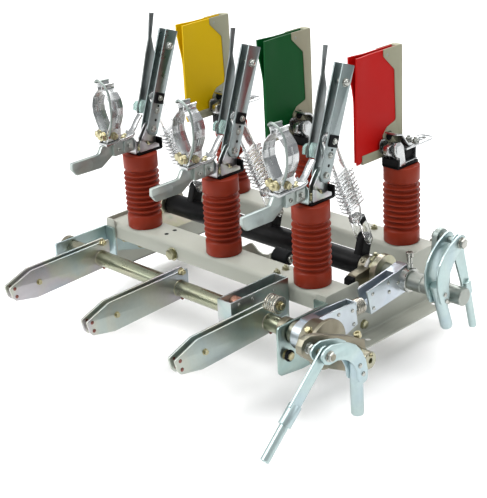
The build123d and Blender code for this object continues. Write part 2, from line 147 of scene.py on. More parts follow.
def metal(name, stops, scale=14.0, rough=(0.22, 0.38), fine=0.03, grain=700.0, stretch=None, metallic=1.0, bumps=0.03, dist=1.2, spec=0.5):
    m, nt, b = new_mat(name)
    c = ramp(nt, noise(nt, scale, 3.0, 0.55, None, dist), stops)
    f = remap(nt, noise(nt, 160.0, 4.0, 0.6), 1.0 - fine * 2, 1.0)
    g = nt.nodes.new("ShaderNodeCombineColor")
    for i in range(3):
        nt.links.new(f, g.inputs[i])
    c = mix(nt, c, g.outputs[0], 1.0, "MULTIPLY")
    nt.links.new(c, b.inputs["Base Color"])
    b.inputs["Metallic"].default_value = metallic
    nt.links.new(remap(nt, noise(nt, 38.0, 4.0, 0.65), rough[0], rough[1]), b.inputs["Roughness"])
    b.inputs["Specular IOR Level"].default_value = spec
    bump(nt, b, noise(nt, grain, 3.0, 0.6, stretch), bumps, 0.0004)
    return m


def plastic(name, col, var=0.12, scale=22.0, rough=(0.32, 0.45), grain=900.0, bumps=0.10, coat=0.0, speck=None, spec=0.25):
    m, nt, b = new_mat(name)
    lo = tuple(max(0.0, x * (1 - var)) for x in col)
    hi = tuple(min(1.0, x * (1 + var)) for x in col)
    c = ramp(nt, noise(nt, scale, 4.0, 0.6), [(0.32, lo), (0.52, col), (0.72, hi)])
    if speck:
        f = remap(nt, noise(nt, 420.0, 2.0, 0.5), 0.0, 0.35, 0.62, 0.75)
        c = mix(nt, c, speck, f)
    nt.links.new(c, b.inputs["Base Color"])
    nt.links.new(remap(nt, noise(nt, 55.0, 3.0, 0.6), rough[0], rough[1]), b.inputs["Roughness"])
    b.inputs["Coat Weight"].default_value = coat
    b.inputs["Specular IOR Level"].default_value = spec
    bump(nt, b, noise(nt, grain, 3.0, 0.6), bumps, 0.0004)
    return m


metal("blue_zinc", [(0.28, (0.34, 0.42, 0.44)), (0.42, (0.40, 0.47, 0.45)), (0.50, (0.44, 0.46, 0.46)), (0.58, (0.44, 0.42, 0.44)), (0.66, (0.43, 0.45, 0.40)), (0.78, (0.35, 0.43, 0.47))], 9.0, (0.28, 0.38), dist=1.2)
metal("blade_zinc", [(0.26, (0.36, 0.43, 0.44)), (0.40, (0.41, 0.46, 0.43)), (0.50, (0.45, 0.46, 0.40)), (0.60, (0.44, 0.42, 0.44)), (0.76, (0.35, 0.42, 0.46))], 6.0, (0.30, 0.40), dist=1.0)
metal("teal_zinc", [(0.3, (0.32, 0.45, 0.44)), (0.5, (0.38, 0.48, 0.45)), (0.7, (0.37, 0.45, 0.48))], 8.0, (0.30, 0.40), dist=1.0)
metal("lavender_zinc", [(0.3, (0.42, 0.51, 0.56)), (0.5, (0.50, 0.54, 0.59)), (0.7, (0.47, 0.53, 0.54))], 9.0, (0.30, 0.40), dist=1.0)
metal("pale_zinc", [(0.3, (0.38, 0.50, 0.50)), (0.5, (0.45, 0.55, 0.54)), (0.7, (0.40, 0.50, 0.54))], 8.0, (0.34, 0.44), dist=0.8)
# silver plating of the blade bars, its colour darkened and tinted teal as a painted reflection of the nearby green
# parts
metal("silver_plate", [(0.3, (0.20, 0.27, 0.26)), (0.5, (0.28, 0.32, 0.32)), (0.7, (0.24, 0.28, 0.28))], 6.0, (0.26, 0.34), bumps=0.02)
metal("clip_silver", [(0.3, (0.42, 0.44, 0.44)), (0.5, (0.54, 0.55, 0.55)), (0.7, (0.47, 0.49, 0.49))], 14.0, (0.22, 0.30), bumps=0.02)
metal("arc_steel", [(0.35, (0.17, 0.19, 0.19)), (0.55, (0.22, 0.24, 0.24)), (0.7, (0.19, 0.20, 0.19))], 10.0, (0.32, 0.42), bumps=0.03)
metal("tongue_zinc", [(0.35, (0.36, 0.41, 0.40)), (0.55, (0.42, 0.46, 0.43)), (0.7, (0.38, 0.42, 0.40))], 10.0, (0.36, 0.46), bumps=0.04)
metal("olive_zinc", [(0.3, (0.33, 0.33, 0.24)), (0.5, (0.42, 0.41, 0.30)), (0.62, (0.44, 0.40, 0.34)), (0.75, (0.36, 0.39, 0.31))], 14.0, (0.30, 0.42))
metal("brown_zinc", [(0.3, (0.20, 0.18, 0.13)), (0.5, (0.27, 0.25, 0.19)), (0.7, (0.24, 0.24, 0.19))], 12.0, (0.34, 0.46), bumps=0.06)
metal("grey_zinc", [(0.3, (0.30, 0.33, 0.30)), (0.5, (0.36, 0.38, 0.35)), (0.7, (0.32, 0.35, 0.32))], 12.0, (0.38, 0.50), bumps=0.06)
metal("dark_steel", [(0.3, (0.22, 0.26, 0.24)), (0.5, (0.29, 0.33, 0.31)), (0.7, (0.25, 0.30, 0.29))], 12.0, (0.38, 0.50), bumps=0.06)
metal("shaft_zinc", [(0.3, (0.27, 0.30, 0.22)), (0.5, (0.34, 0.35, 0.25)), (0.65, (0.36, 0.34, 0.26)), (0.8, (0.27, 0.33, 0.27))], 8.0, (0.24, 0.34), bumps=0.02)
metal("spring_steel", [(0.3, (0.50, 0.47, 0.40)), (0.6, (0.66, 0.62, 0.54))], 60.0, (0.20, 0.30))
metal("copper_wire", [(0.3, (0.42, 0.25, 0.16)), (0.6, (0.60, 0.40, 0.28))], 60.0, (0.24, 0.34))
metal("copper", [(0.3, (0.36, 0.17, 0.12)), (0.5, (0.50, 0.26, 0.19)), (0.7, (0.42, 0.23, 0.17))], 30.0, (0.24, 0.36))
metal("rivet_red", [(0.3, (0.16, 0.06, 0.05)), (0.6, (0.26, 0.11, 0.09))], 60.0, (0.34, 0.46))
metal("brass", [(0.3, (0.34, 0.31, 0.17)), (0.5, (0.47, 0.43, 0.27)), (0.7, (0.40, 0.37, 0.24))], 40.0, (0.24, 0.34))
metal("olive_bolt", [(0.3, (0.24, 0.23, 0.14)), (0.5, (0.34, 0.33, 0.22)), (0.7, (0.28, 0.28, 0.19))], 40.0, (0.26, 0.38))
metal("bolt_zinc", [(0.3, (0.32, 0.34, 0.32)), (0.5, (0.44, 0.45, 0.42)), (0.7, (0.38, 0.37, 0.33))], 40.0, (0.22, 0.32))
metal("black_steel", [(0.35, (0.0025, 0.0027, 0.003)), (0.65, (0.006, 0.006, 0.0065))], 30.0, (0.34, 0.44), metallic=0.0, bumps=0.03, spec=0.10)
plastic("frame_paint", (0.385, 0.395, 0.345), 0.03, 5.0, (0.44, 0.54), 520.0, 0.05, spec=0.25)
plastic("insulator_resin", (0.235, 0.026, 0.010), 0.12, 14.0, (0.34, 0.44), 700.0, 0.05, 0.0, None, 0.16)
plastic("black_plastic", (0.003, 0.0035, 0.004), 0.2, 40.0, (0.42, 0.52), 800.0, 0.05, spec=0.12)
plastic("rubber", (0.006, 0.007, 0.008), 0.2, 40.0, (0.60, 0.72), 900.0, 0.08, spec=0.12)
plastic("chute_yellow", (0.60, 0.39, 0.0), 0.03, 7.0, (0.42, 0.50), 600.0, 0.02, spec=0.08)
plastic("chute_green", (0.001, 0.075, 0.015), 0.06, 7.0, (0.40, 0.48), 600.0, 0.02, spec=0.10)
plastic("chute_red", (0.41, 0.004, 0.003), 0.04, 7.0, (0.40, 0.48), 600.0, 0.02, spec=0.10)
plastic("chute_frame", (0.29, 0.285, 0.20), 0.04, 10.0, (0.50, 0.60), 700.0, 0.08, spec=0.25)
plastic("white_ring", (0.62, 0.62, 0.60), 0.06, 40.0, (0.35, 0.45), 700.0, 0.05, spec=0.4)


def clear(name, col, rough, weight):
    m, nt, b = new_mat(name)
    c = ramp(nt, noise(nt, 30.0, 3.0, 0.6), [(0.3, tuple(x * 0.93 for x in col)), (0.7, col)])
    nt.links.new(c, b.inputs["Base Color"])
    b.inputs["Transmission Weight"].default_value = weight
    b.inputs["IOR"].default_value = 1.22
    nt.links.new(remap(nt, noise(nt, 80.0, 3.0, 0.6), rough[0], rough[1]), b.inputs["Roughness"])
    bump(nt, b, noise(nt, 120.0, 2.0, 0.5), 0.03, 0.0004)
    return m


clear("clear_plastic", (0.96, 0.97, 0.97), (0.06, 0.12), 0.90)
clear("clear_block", (0.50, 0.68, 0.64), (0.10, 0.20), 0.70)


# ---------------------------------------------------------------------------
# mesh helpers: every helper adds to a bmesh in working millimetres
# ---------------------------------------------------------------------------
def basis(d):
    d = Vector(d).normalized()
    h = Vector((0, 0, 1)) if abs(d.z) < 0.9 else Vector((1, 0, 0))
    u = d.cross(h).normalized()
    v = d.cross(u).normalized()
    return u, v, d


def lathe(bm, o, d, prof, n=32, rot=0.0):
    """Revolve (s, r) pairs about the line o + s*d."""
    o = Vector(o)
    u, v, d = basis(d)
    rings = []
    for s, r in prof:
        c = o + d * s
        if r < 1e-6:
            rings.append([bm.verts.new(c)])
        else:
            rings.append([bm.verts.new(c + (u * cos(rot + 2 * pi * i / n) + v * sin(rot + 2 * pi * i / n)) * r) for i in range(n)])
    for a, b in zip(rings, rings[1:]):
        for i in range(n):
            j = (i + 1) % n
            if len(a) == 1 and len(b) == 1:
                continue
            if len(a) == 1:
                bm.faces.new((a[0], b[i], b[j]))
            elif len(b) == 1:
                bm.faces.new((a[i], b[0], a[j]))
            else:
                bm.faces.new((a[i], b[i], b[j], a[j]))
    return rings


def cyl(bm, a, b, r, bev=0.6, n=36):
    a, b = Vector(a), Vector(b)
    L = (b - a).length
    e = min(bev, L * 0.3, r * 0.4)
    lathe(bm, a, b - a, [(0, 0), (0, r - e), (e * 0.3, r - e * 0.3), (e, r), (L - e, r), (L - e * 0.3, r - e * 0.3), (L, r - e), (L, 0)], n)


def ring(bm, a, b, ro, ri, bev=0.4, n=36):
    a, b = Vector(a), Vector(b)
    L = (b - a).length
    e = min(bev, L * 0.3, (ro - ri) * 0.3)
    rings = lathe(bm, a, b - a, [(0, ri), (0, ro - e), (e, ro), (L - e, ro), (L, ro - e), (L, ri)], n)
    f, l = rings[0], rings[-1]
    for i in range(n):
        j = (i + 1) % n
        bm.faces.new((l[i], f[i], f[j], l[j]))


def hexhead(bm, p, d, af=13.0, h=6.0, rot=0.3, washer=None, nut=False, thread=0.0):
    """Hexagon head or nut standing on p along d, on an optional washer."""
    p, d = Vector(p), Vector(d).normalized()
    if washer:
        ring(bm, p, p + d * washer[1], washer[0], 0.2, 0.3, 30)
        p = p + d * washer[1]
    R = af / 2 / cos(pi / 6)
    lathe(bm, p, d, [(0, 0), (0, R * 0.97), (0.5, R), (h - 1.2, R), (h - 0.3, R * 0.93), (h, R * 0.84), (h, 0)], 6, rot)
    if thread > 0:
        r = af * 0.29
        prof = [(h - 0.2, 0), (h - 0.2, r)]
        s = h
        while s < h + thread:
            prof += [(s + 0.35, r * 0.9), (s + 0.8, r)]
            s += 0.9
        prof += [(s + 0.2, r * 0.75), (s + 0.2, 0)]
        lathe(bm, p, d, prof, 20)


def dome(bm, p, d, r=6.0, h=4.0, washer=None, n=28):
    p, d = Vector(p), Vector(d).normalized()
    if washer:
        ring(bm, p, p + d * washer[1], washer[0], 0.2, 0.3, 30)
        p = p + d * washer[1]
    prof = [(0, 0), (0, r)]
    for i in range(1, 7):
        a = radians(90 * i / 6)
        prof.append((h * (0.25 + 0.75 * sin(a)), r * cos(a) if i < 6 else 0))
    lathe(bm, p, d, prof, n)


def sock(bm, p, d, r=5.0, h=5.0, washer=None):
    """Cap screw with a hexagon socket in its head."""
    p, d = Vector(p), Vector(d).normalized()
    if washer:
        ring(bm, p, p + d * washer[1], washer[0], 0.2, 0.3, 30)
        p = p + d * washer[1]
    lathe(bm, p, d, [(0, 0), (0, r), (h - 0.6, r), (h, r - 0.6), (h, r * 0.55), (h - 2.2, r * 0.5), (h - 2.6, 0)], 30)


def rbox(bm, x0, x1, y0, y1, z0, z1, r=0.8, seg=2):
    m = bmesh.new()
    bmesh.ops.create_cube(m, size=1.0)
    for v in m.verts:
        v.co = Vector(((x0 + x1) / 2 + v.co.x * abs(x1 - x0), (y0 + y1) / 2 + v.co.y * abs(y1 - y0), (z0 + z1) / 2 + v.co.z * abs(z1 - z0)))
    rr = min(r, abs(x1 - x0) * 0.4, abs(y1 - y0) * 0.4, abs(z1 - z0) * 0.4)
    if rr > 0.02:
        bmesh.ops.bevel(m, geom=m.edges[:], offset=rr, segments=seg, profile=0.5, affect="EDGES", clamp_overlap=True)
    merge(bm, m)


def merge(bm, m, fn=None):
    mp = {}
    for v in m.verts:
        mp[v] = bm.verts.new(fn(v.co) if fn else v.co)
    for f in m.faces:
        try:
            bm.faces.new([mp[v] for v in f.verts])
        except ValueError:
            pass
    m.free()


def rnd(pts, r, closed=True, seg=5):
    """Round the corners of a line of 2D points; r may be one radius or one per point."""
    n = len(pts)
    rr = r if isinstance(r, (list, tuple)) else [r] * n
    out = []
    for i in range(n):
        p = Vector(pts[i])
        if not closed and i in (0, n - 1):
            out.append((p.x, p.y))
            continue
        a, b = Vector(pts[i - 1]), Vector(pts[(i + 1) % n])
        da, db = (a - p), (b - p)
        la, lb = da.length, db.length
        da.normalize(); db.normalize()
        ang = acos(max(-1, min(1, da.dot(db))))
        if ang > pi - 0.06 or rr[i] <= 0:
            out.append((p.x, p.y))
            continue
        t = min(rr[i] / max(1e-6, sin(ang / 2) / cos(ang / 2)), la * 0.48, lb * 0.48)
        q = t * sin(ang / 2) / cos(ang / 2)
        bis = (da + db).normalized()
        c = p + bis * (q / sin(ang / 2))
        s, e = p + da * t, p + db * t
        a0, a1 = atan2(s.y - c.y, s.x - c.x), atan2(e.y - c.y, e.x - c.x)
        while a1 - a0 > pi:
            a1 -= 2 * pi
        while a1 - a0 < -pi:
            a1 += 2 * pi
        for k in range(seg + 1):
            w = a0 + (a1 - a0) * k / seg
            out.append((c.x + q * cos(w), c.y + q * sin(w)))
    return out


def circ(cy, cz, r, n=24):
    return [(cy + r * cos(2 * pi * i / n), cz + r * sin(2 * pi * i / n)) for i in range(n)]


def plate(bm, outline, a0, a1, axis="x", holes=(), bev=0.5):
    """Flat plate: 2D outline with holes, thickness from a0 to a1 along axis.
    x: points are (y, z); y: points are (x, z); z: points are (x, y)."""
    cu = bpy.data.curves.new("tmp", "CURVE")
    cu.dimensions = "2D"
    cu.fill_mode = "BOTH"
    b = min(bev, abs(a1 - a0) * 0.4)
    cu.extrude = abs(a1 - a0) / 2 - b
    cu.bevel_depth = b
    cu.bevel_resolution = 1
    cu.offset = -b
    for loop in (outline,) + tuple(holes):
        sp = cu.splines.new("POLY")
        sp.points.add(len(loop) - 1)
        for i, (u, v) in enumerate(loop):
            sp.points[i].co = (u, v, 0, 1)
        sp.use_cyclic_u = True
    ob = bpy.data.objects.new("tmp", cu)
    bpy.context.scene.collection.objects.link(ob)
    me = bpy.data.meshes.new_from_object(ob)
    mid = (a0 + a1) / 2
    m = bmesh.new()
    m.from_mesh(me)
    bmesh.ops.remove_doubles(m, verts=m.verts[:], dist=0.002)
    bpy.data.objects.remove(ob)
    bpy.data.curves.remove(cu)
    bpy.data.meshes.remove(me)
    if axis == "x":
        fn = lambda c: Vector((mid + c.z, c.x, c.y))
    elif axis == "y":
        fn = lambda c: Vector((c.x, mid + c.z, c.y))
    else:
        fn = lambda c: Vector((c.x, c.y, mid + c.z))
    merge(bm, m, fn)


def offset_line(path, t):
    n = len(path)
    up, dn = [], []
    for i in range(n):
        a = Vector(path[max(i - 1, 0)])
        p = Vector(path[i])
        b = Vector(path[min(i + 1, n - 1)])
        d1 = (p - a) if i else (b - p)
        d2 = (b - p) if i < n - 1 else (p - a)
        d1.normalize(); d2.normalize()
        d = (d1 + d2).normalized()
        k = 1.0 / max(0.5, d.dot(d1))
        nrm = Vector((-d.y, d.x)) * k
        up.append(((p + nrm * t / 2).x, (p + nrm * t / 2).y))
        dn.append(((p - nrm * t / 2).x, (p - nrm * t / 2).y))
    return up + dn[::-1]


def strip(bm, path, t, a0, a1, axis="x", r=5.0, bev=0.5, seg=5):
    """Bent flat bar whose mid line is path."""
    line = rnd(path, r, closed=False, seg=seg)
    plate(bm, offset_line(line, t), a0, a1, axis, (), bev)


def smooth_path(pts, r=6.0, seg=5):
    """Round the corners of a 3D line."""
    P = [Vector(p) for p in pts]
    out = [P[0]]
    for i in range(1, len(P) - 1):
        a, p, b = P[i - 1], P[i], P[i + 1]
        da, db = (a - p), (b - p)
        t = min(r, da.length * 0.45, db.length * 0.45)
        s, e = p + da.normalized() * t, p + db.normalized() * t
        for k in range(seg + 1):
            w = k / seg
            out.append(s * (1 - w) ** 2 + p * 2 * w * (1 - w) + e * w * w)
    out.append(P[-1])
    return out


def tube(bm, pts, r, n=10, closed_ends=True):
    P = [Vector(p) for p in pts]
    rings = []
    t0 = (P[1] - P[0]).normalized()
    u, v, _ = basis(t0)
    for i, p in enumerate(P):
        t = (P[min(i + 1, len(P) - 1)] - P[max(i - 1, 0)]).normalized()
        u = (u - t * u.dot(t)).normalized()
        v = t.cross(u)
        rings.append([bm.verts.new(p + (u * cos(2 * pi * k / n) + v * sin(2 * pi * k / n)) * r) for k in range(n)])
    for a, b in zip(rings, rings[1:]):
        for i in range(n):
            j = (i + 1) % n
            bm.faces.new((a[i], a[j], b[j], b[i]))
    if closed_ends:
        bm.faces.new(rings[0][::-1])
        bm.faces.new(rings[-1])


def helix(a, b, r, turns, per=18, lead=0.5):
    """Points of a coil from a to b at an even pitch."""
    a, b = Vector(a), Vector(b)
    u, v, d = basis(b - a)
    L = (b - a).length
    n = int(turns * per)
    out = []
    for i in range(n + 1):
        w = i / n
        ww = w
        ang = 2 * pi * turns * w
        out.append(a + d * (L * ww) + (u * cos(ang) + v * sin(ang)) * r)
    return out


def lobe_pts(ya, za, ra, yb, zb, rb, n=18):
    d = hypot(yb - ya, zb - za)
    t = atan2(zb - za, yb - ya)
    g = acos(max(-1, min(1, (ra - rb) / d)))
    pts = []
    for i in range(n + 1):
        a = t - g + 2 * g * i / n
        pts.append((yb + rb * cos(a), zb + rb * sin(a)))
    for i in range(n + 1):
        a = t + g + (2 * pi - 2 * g) * i / n
        pts.append((ya + ra * cos(a), za + ra * sin(a)))
    return pts


def make(name, bm, mat, body, nodes=(), angle=32.0):
    bmesh.ops.recalc_face_normals(bm, faces=bm.faces[:])
    for v in bm.verts:
        v.co = V(*v.co)
    for f in bm.faces:
        f.smooth = True
    me = bpy.data.meshes.new(name)
    bm.to_mesh(me)
    bm.free()
    me.set_sharp_from_angle(angle=radians(angle))
    me.materials.append(MATS[mat])
    ob = bpy.data.objects.new(name, me)
    bpy.context.scene.collection.objects.link(ob)
    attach(ob, body)
    if nodes:
        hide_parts(*nodes)
    return ob


def body_of_node(node):
    for b, lst in frame["record"]["behaviour"]["bodies"].items():
        if node in lst:
            return b
    return "root"


def carry(node, mat, width=0.6, angle=30.0, name=None):
    """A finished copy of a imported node: edges broken, faces smoothed."""
    src = frame["nodes"][node]
    bm = bmesh.new()
    bm.from_mesh(src.data)
    bm.transform(src.matrix_world)
    bmesh.ops.remove_doubles(bm, verts=bm.verts[:], dist=2e-6)
    bmesh.ops.dissolve_limit(bm, angle_limit=radians(1.2), use_dissolve_boundaries=False, verts=bm.verts[:], edges=bm.edges[:])
    bmesh.ops.recalc_face_normals(bm, faces=bm.faces[:])
    if width > 0:
        es = [e for e in bm.edges if len(e.link_faces) == 2 and e.calc_face_angle(0) > radians(angle)]
        if es:
            bmesh.ops.bevel(bm, geom=es, offset=width / 1000.0, segments=2, profile=0.6, affect="EDGES", clamp_overlap=True, miter_outer="ARC")
    bmesh.ops.triangulate(bm, faces=[f for f in bm.faces if len(f.verts) > 4])
    for f in bm.faces:
        f.smooth = True
    me = bpy.data.meshes.new(name or "fine_" + node)
    bm.to_mesh(me)
    bm.free()
    me.set_sharp_from_angle(angle=radians(26))
    me.materials.append(MATS[mat])
    ob = bpy.data.objects.new(name or "fine_" + node, me)
    bpy.context.scene.collection.objects.link(ob)
    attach(ob, body_of_node(node))
    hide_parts(node)
    return ob


# ---------------------------------------------------------------------------
# base frame
# ---------------------------------------------------------------------------
def arc(cy, cz, r, a0, a1, n=7):
    return [(cy + r * cos(radians(a0 + (a1 - a0) * i / n)), cz + r * sin(radians(a0 + (a1 - a0) * i / n))) for i in range(n + 1)]


def beam_piece(node, yc):
    y0, y1 = yc - 32, yc + 32
    bm = bmesh.new()
    R = 9.0
    outer = [(y0, -30)] + arc(y0 + R, -R, R, 180, 90) + arc(y1 - R, -R, R, 90, 0) + [(y1, -30)]
    inner = [(y0 + 3, -30)] + arc(y0 + R, -R, R - 3, 180, 90) + arc(y1 - R, -R, R - 3, 90, 0) + [(y1 - 3, -30)]
    n = 26
    xs = [-69.0, 477.0]
    # closed channel section swept along X
    sec = outer + inner[::-1]
    rings = [[bm.verts.new((x, p[0], p[1])) for p in sec] for x in xs]
    k = len(sec)
    for i in range(k):
        j = (i + 1) % k
        bm.faces.new((rings[0][i], rings[0][j], rings[1][j], rings[1][i]))
    bm.faces.new(rings[0])
    bm.faces.new(rings[1][::-1])
    make("painted_" + node, bm, "frame_paint", "root", (node,), 22)


beam_piece("front_beam", 0.0)
beam_piece("rear_beam", 234.5)

YF, YR = -32.0, 266.5


def side_piece(node, sgn):
    xo = 480.0 if sgn > 0 else -72.0
    xi = xo - sgn * 3
    bm = bmesh.new()
    top = 1.5 if sgn > 0 else 7.0
    web = [(YF - 3, -67.5), (YF + 31, -101.5), (YR + 3, -101.5), (YR + 3, top), (194.5, top), (168.5, -34), (158, -36), (150, -52), (88, -52), (80, -36), (56, -30), (46, -24), (46, top), (YF - 3, top)]
    rr = [5, 6, 2, 5, 6, 10, 4, 4, 4, 4, 8, 5, 4, 4]
    holes = [circ(14, -62, 5.0), circ(238, -62, 5.0)]
    plate(bm, rnd(web, rr), min(xi, xo), max(xi, xo), "x", holes, 0.6)
    xf = xo + sgn * 37
    xc = xo + sgn * 18.5
    fl = [(xi, 6), (xf - sgn * 8, 6), (xf, 14), (xf, YR - 6), (xf - sgn * 8, YR + 3), (xi, YR + 3)]
    if sgn < 0:
        fl = fl[::-1]
    plate(bm, rnd(fl, [0, 3, 4, 4, 3, 0] if sgn > 0 else [0, 3, 4, 4, 3, 0]), -101.5, -98.5, "z", [circ(xc, 46, 5.5), circ(xc, 226, 5.5)], 0.6)
    # bend between web and flange
    bendp = [(xo - sgn * 0.2, -98.7), (xo - sgn * 0.2, -95.5), (xo + sgn * 0.9, -97.6), (xo + sgn * 3, -98.7)]
    plate(bm, bendp, 6, YR + 3, "y", (), 0.05)
    for ya, yb, hz in ((YF - 3, YF, (-14.5, -44.0)), (YR, YR + 3, (-14.5, -44.0))):
        lip = [(xi, -72), (xi - sgn * 20, -60), (xi - sgn * 20, top), (xi, top)]
        h = [circ(xi - sgn * 11, -30, 4.2), circ(xi - sgn * 11, -52, 3.2)] if (sgn > 0) else []
        plate(bm, rnd(lip, [0, 5, 5, 0]), ya, yb, "y", h, 0.6)
    for yy in (YF - 0.2, YR + 0.2):
        s = 1 if yy > 0 else -1
        # rolled corner
        cyl(bm, (xi + sgn * 0.4, yy + s * 0.4, -70), (xi + sgn * 0.4, yy + s * 0.4, top - 1.2), 2.4, 0.3, 20)
    make("painted_" + node, bm, "frame_paint", "root", (node,), 30)


side_piece("right_side_plate", 1)
side_piece("left_side_plate", -1)
carry("main_bearings", "olive_zinc", 0.8)
carry("buffer_bracket", "frame_paint", 0.6)

# bolt heads and small parts of the frame
bm = bmesh.new()
hexhead(bm, (480, 190, -52), (1, 0, 0), 17, 8, 0.1, (13, 2.0))
hexhead(bm, (480, 57, -81), (1, 0, 0), 13, 5, 0.4, (8.6, 1.2))
hexhead(bm, (-72, 190, -52), (-1, 0, 0), 17, 8, 0.1, (13, 2.0))
hexhead(bm, (-72, 57, -81), (-1, 0, 0), 13, 5, 0.4, (8.6, 1.2))
for y in (-12, 9.3):
    for yo in (0, 234.5):
        hexhead(bm, (349.5, y + yo, 0), (0, 0, 1), 9.5, 4.6, 0.2, (6.6, 1.2), thread=2.0)
make("frame_bolts", bm, "olive_bolt", "root")
bm = bmesh.new()
# large clamp bolt on the face of the front beam
hexhead(bm, (108.3, -32, -21), (0, -1, 0), 17.5, 8.0, 0.35, (12.5, 1.8))
make("beam_bolt", bm, "olive_bolt", "root")

bm = bmesh.new()
# dark recessed discs on the face and top of the front beam, painted shade standing in for the insides of its holes
for x, z, r in ((327, -15, 3.6), (343, -15, 3.6)):
    lathe(bm, (x, -31.9, z), (0, -1, 0), [(0, 0), (0, r), (0.5, r), (0.5, r * 0.55), (0.1, r * 0.5), (0.1, 0)], 24)
for x, y in ((66.8, 12.6), (68.3, -9.1)):
    lathe(bm, (x, y, -0.1), (0, 0, 1), [(0, 0), (0, 4.2), (0.45, 4.0), (0.45, 2.4), (0.15, 2.2), (0.15, 0)], 20)
make("painted_hole_shade", bm, "rubber", "root")

# rubber buffer with its ring
bm = bmesh.new()
lathe(bm, (292, 46, 1), (1, 0, 0), [(0, 0), (0, 11), (1.5, 13), (6, 13), (8, 12.3), (12, 13), (31, 13), (33.5, 12), (35, 9), (35, 0)], 36)
make("buffer_rubber", bm, "rubber", "root", ("rubber_buffer",))
bm = bmesh.new()
ring(bm, (327, 46, 1), (331, 46, 1), 7.5, 4.2, 0.6)
cyl(bm, (326.5, 46, 1), (337.5, 46, 1), 3.2, 0.6)
hexhead(bm, (331.5, 46, 1), (1, 0, 0), 7.0, 4.0, 0.2)
make("buffer_ring", bm, "bolt_zinc", "root")


# ---------------------------------------------------------------------------
# insulators
# ---------------------------------------------------------------------------
def insulator(bm, x, y):
    rc, rg, rs = 31.85, 25.2, 32.75
    zb, zt, p = 25.0, 113.6, 88.6 / 9
    prof = [(0.0, 0.0), (0.0, rc - 1.6), (0.4, rc - 0.6), (1.5, rc), (zb - 1.4, rc), (zb - 0.3, rc - 0.5)]
    for i in range(9):
        z = zb + p * i
        if i:
            prof += [(z - 0.15 * p, rs - 1.8), (z - 0.09 * p, rs - 0.4), (z, rs), (z + 0.09 * p, rs - 0.4), (z + 0.15 * p, rs - 1.8)]
        prof += [(z + 0.24 * p, rg + 2.4), (z + 0.33 * p, rg + 0.7), (z + 0.5 * p, rg), (z + 0.67 * p, rg + 0.7), (z + 0.77 * p, rg + 2.4)]
    prof += [(zt + 0.3, rc - 0.6), (zt + 1.4, rc), (140.0, rc), (141.2, rc - 0.6), (141.6, rc - 1.8), (141.6, 0)]
    lathe(bm, (x, y, 0), (0, 0, 1), prof, 56)


for node, y in (("front_insulators", 0.0), ("rear_insulators", 234.5)):
    bm = bmesh.new()
    for x in PHASES:
        insulator(bm, x, y)
    make("ribbed_" + node, bm, "insulator_resin", "root", (node,), 50)

# ---------------------------------------------------------------------------
# front contacts
# ---------------------------------------------------------------------------
bm = bmesh.new()
for x in PHASES:
    plate(bm, rnd([(x - 18, -17), (x - 18, 41), (x + 18, 41), (x + 18, -17)], 3), 141.6, 146.6, "z", (), 0.8)
    plate(bm, rnd([(37, 143), (41, 143), (41, 162), (39.5, 163), (37, 160)], 0.8), x - 18, x + 18, "x", (), 0.6)
make("caps_front", bm, "black_plastic", "root", ("front_caps",))

bm = bmesh.new()
for x in PHASES:
    plate(bm, rnd([(x - 14, -17), (x - 14, 36), (x + 14, 36), (x + 14, -17)], 2), 146.6, 149.6, "z", (), 0.5)
    # clamp plate at the front with a pressed edge
    plate(bm, rnd([(x - 14, 144), (x + 14, 144), (x + 14, 171), (x + 9, 175.5), (x - 9, 175.5), (x - 14, 171)], 3), -20, -17, "y", (), 0.8)
    for sg in (-1, 1):
        xa, xb = sorted((x + sg * 3.4, x + sg * 6.4))
        ck = [(4, 148.6), (36, 148.6), (36, 178), (34, 188), (28, 192), (20, 190), (12, 180), (4, 168)]
        plate(bm, rnd(ck, [0, 0, 8, 5, 6, 6, 10, 4]), xa, xb, "x", (), 0.6)
    cyl(bm, (x - 13, 28, 181), (x + 13, 28, 181), 4.6, 0.8, 28)
make("brackets_front", bm, "blue_zinc", "root", ("front_brackets",))

bm = bmesh.new()
for x in PHASES:
    # outer ears of the bracket beside the blade foot, folded up from the base
    for sg in (-1, 1):
        xa, xb = sorted((x + sg * 15.0, x + sg * 17.4))
        ear = [(-12, 147), (33, 147), (33, 153), (24, 157), (8, 156), (-2, 166), (-12, 170)]
        plate(bm, rnd(ear, [1, 1, 3, 6, 8, 4, 4]), xa, xb, "x", (), 0.5)
make("bracket_ears", bm, "blue_zinc", "root")

bm = bmesh.new()
for x in PHASES:
    for xx, yy in ((x - 9.5, -7), (x + 9.6, -7), (x + 9.6, 14)):
        hexhead(bm, (xx, yy, 149.6), (0, 0, 1), 8.4, 5.0, 0.35, (5.4, 1.2), thread=4.0)
    hexhead(bm, (x, -20, 158), (0, -1, 0), 9, 4.5, 0.1, (6.6, 1.2))
make("bracket_bolts", bm, "brass", "root")

# strap from the clip to the pivot, with pressed ribs along it
bm = bmesh.new()
for x in PHASES:
    path = [(-84, 178), (-36, 178), (-22, 180), (-10, 190), (0, 203), (8, 211)]
    strip(bm, path[:3] + [(-17, 184.2)], 4.4, x - 12, x + 12, "x", 8.0, 0.8)
    strip(bm, [(-30, 178.9), (-22, 180), (-10, 190), (0, 203), (8, 211)], 4.4, x - 6, x + 6, "x", 8.0, 0.9)
    for xx in (x - 10.4, x + 10.4):
        pts = [(xx, yy, zz + 2.0) for yy, zz in rnd([(-82, 178), (-36, 178), (-22, 180), (-17, 184.2)], 8, False)]
        tube(bm, pts, 1.5, 8)
make("straps", bm, "clip_silver", "root", ("clip_straps",))

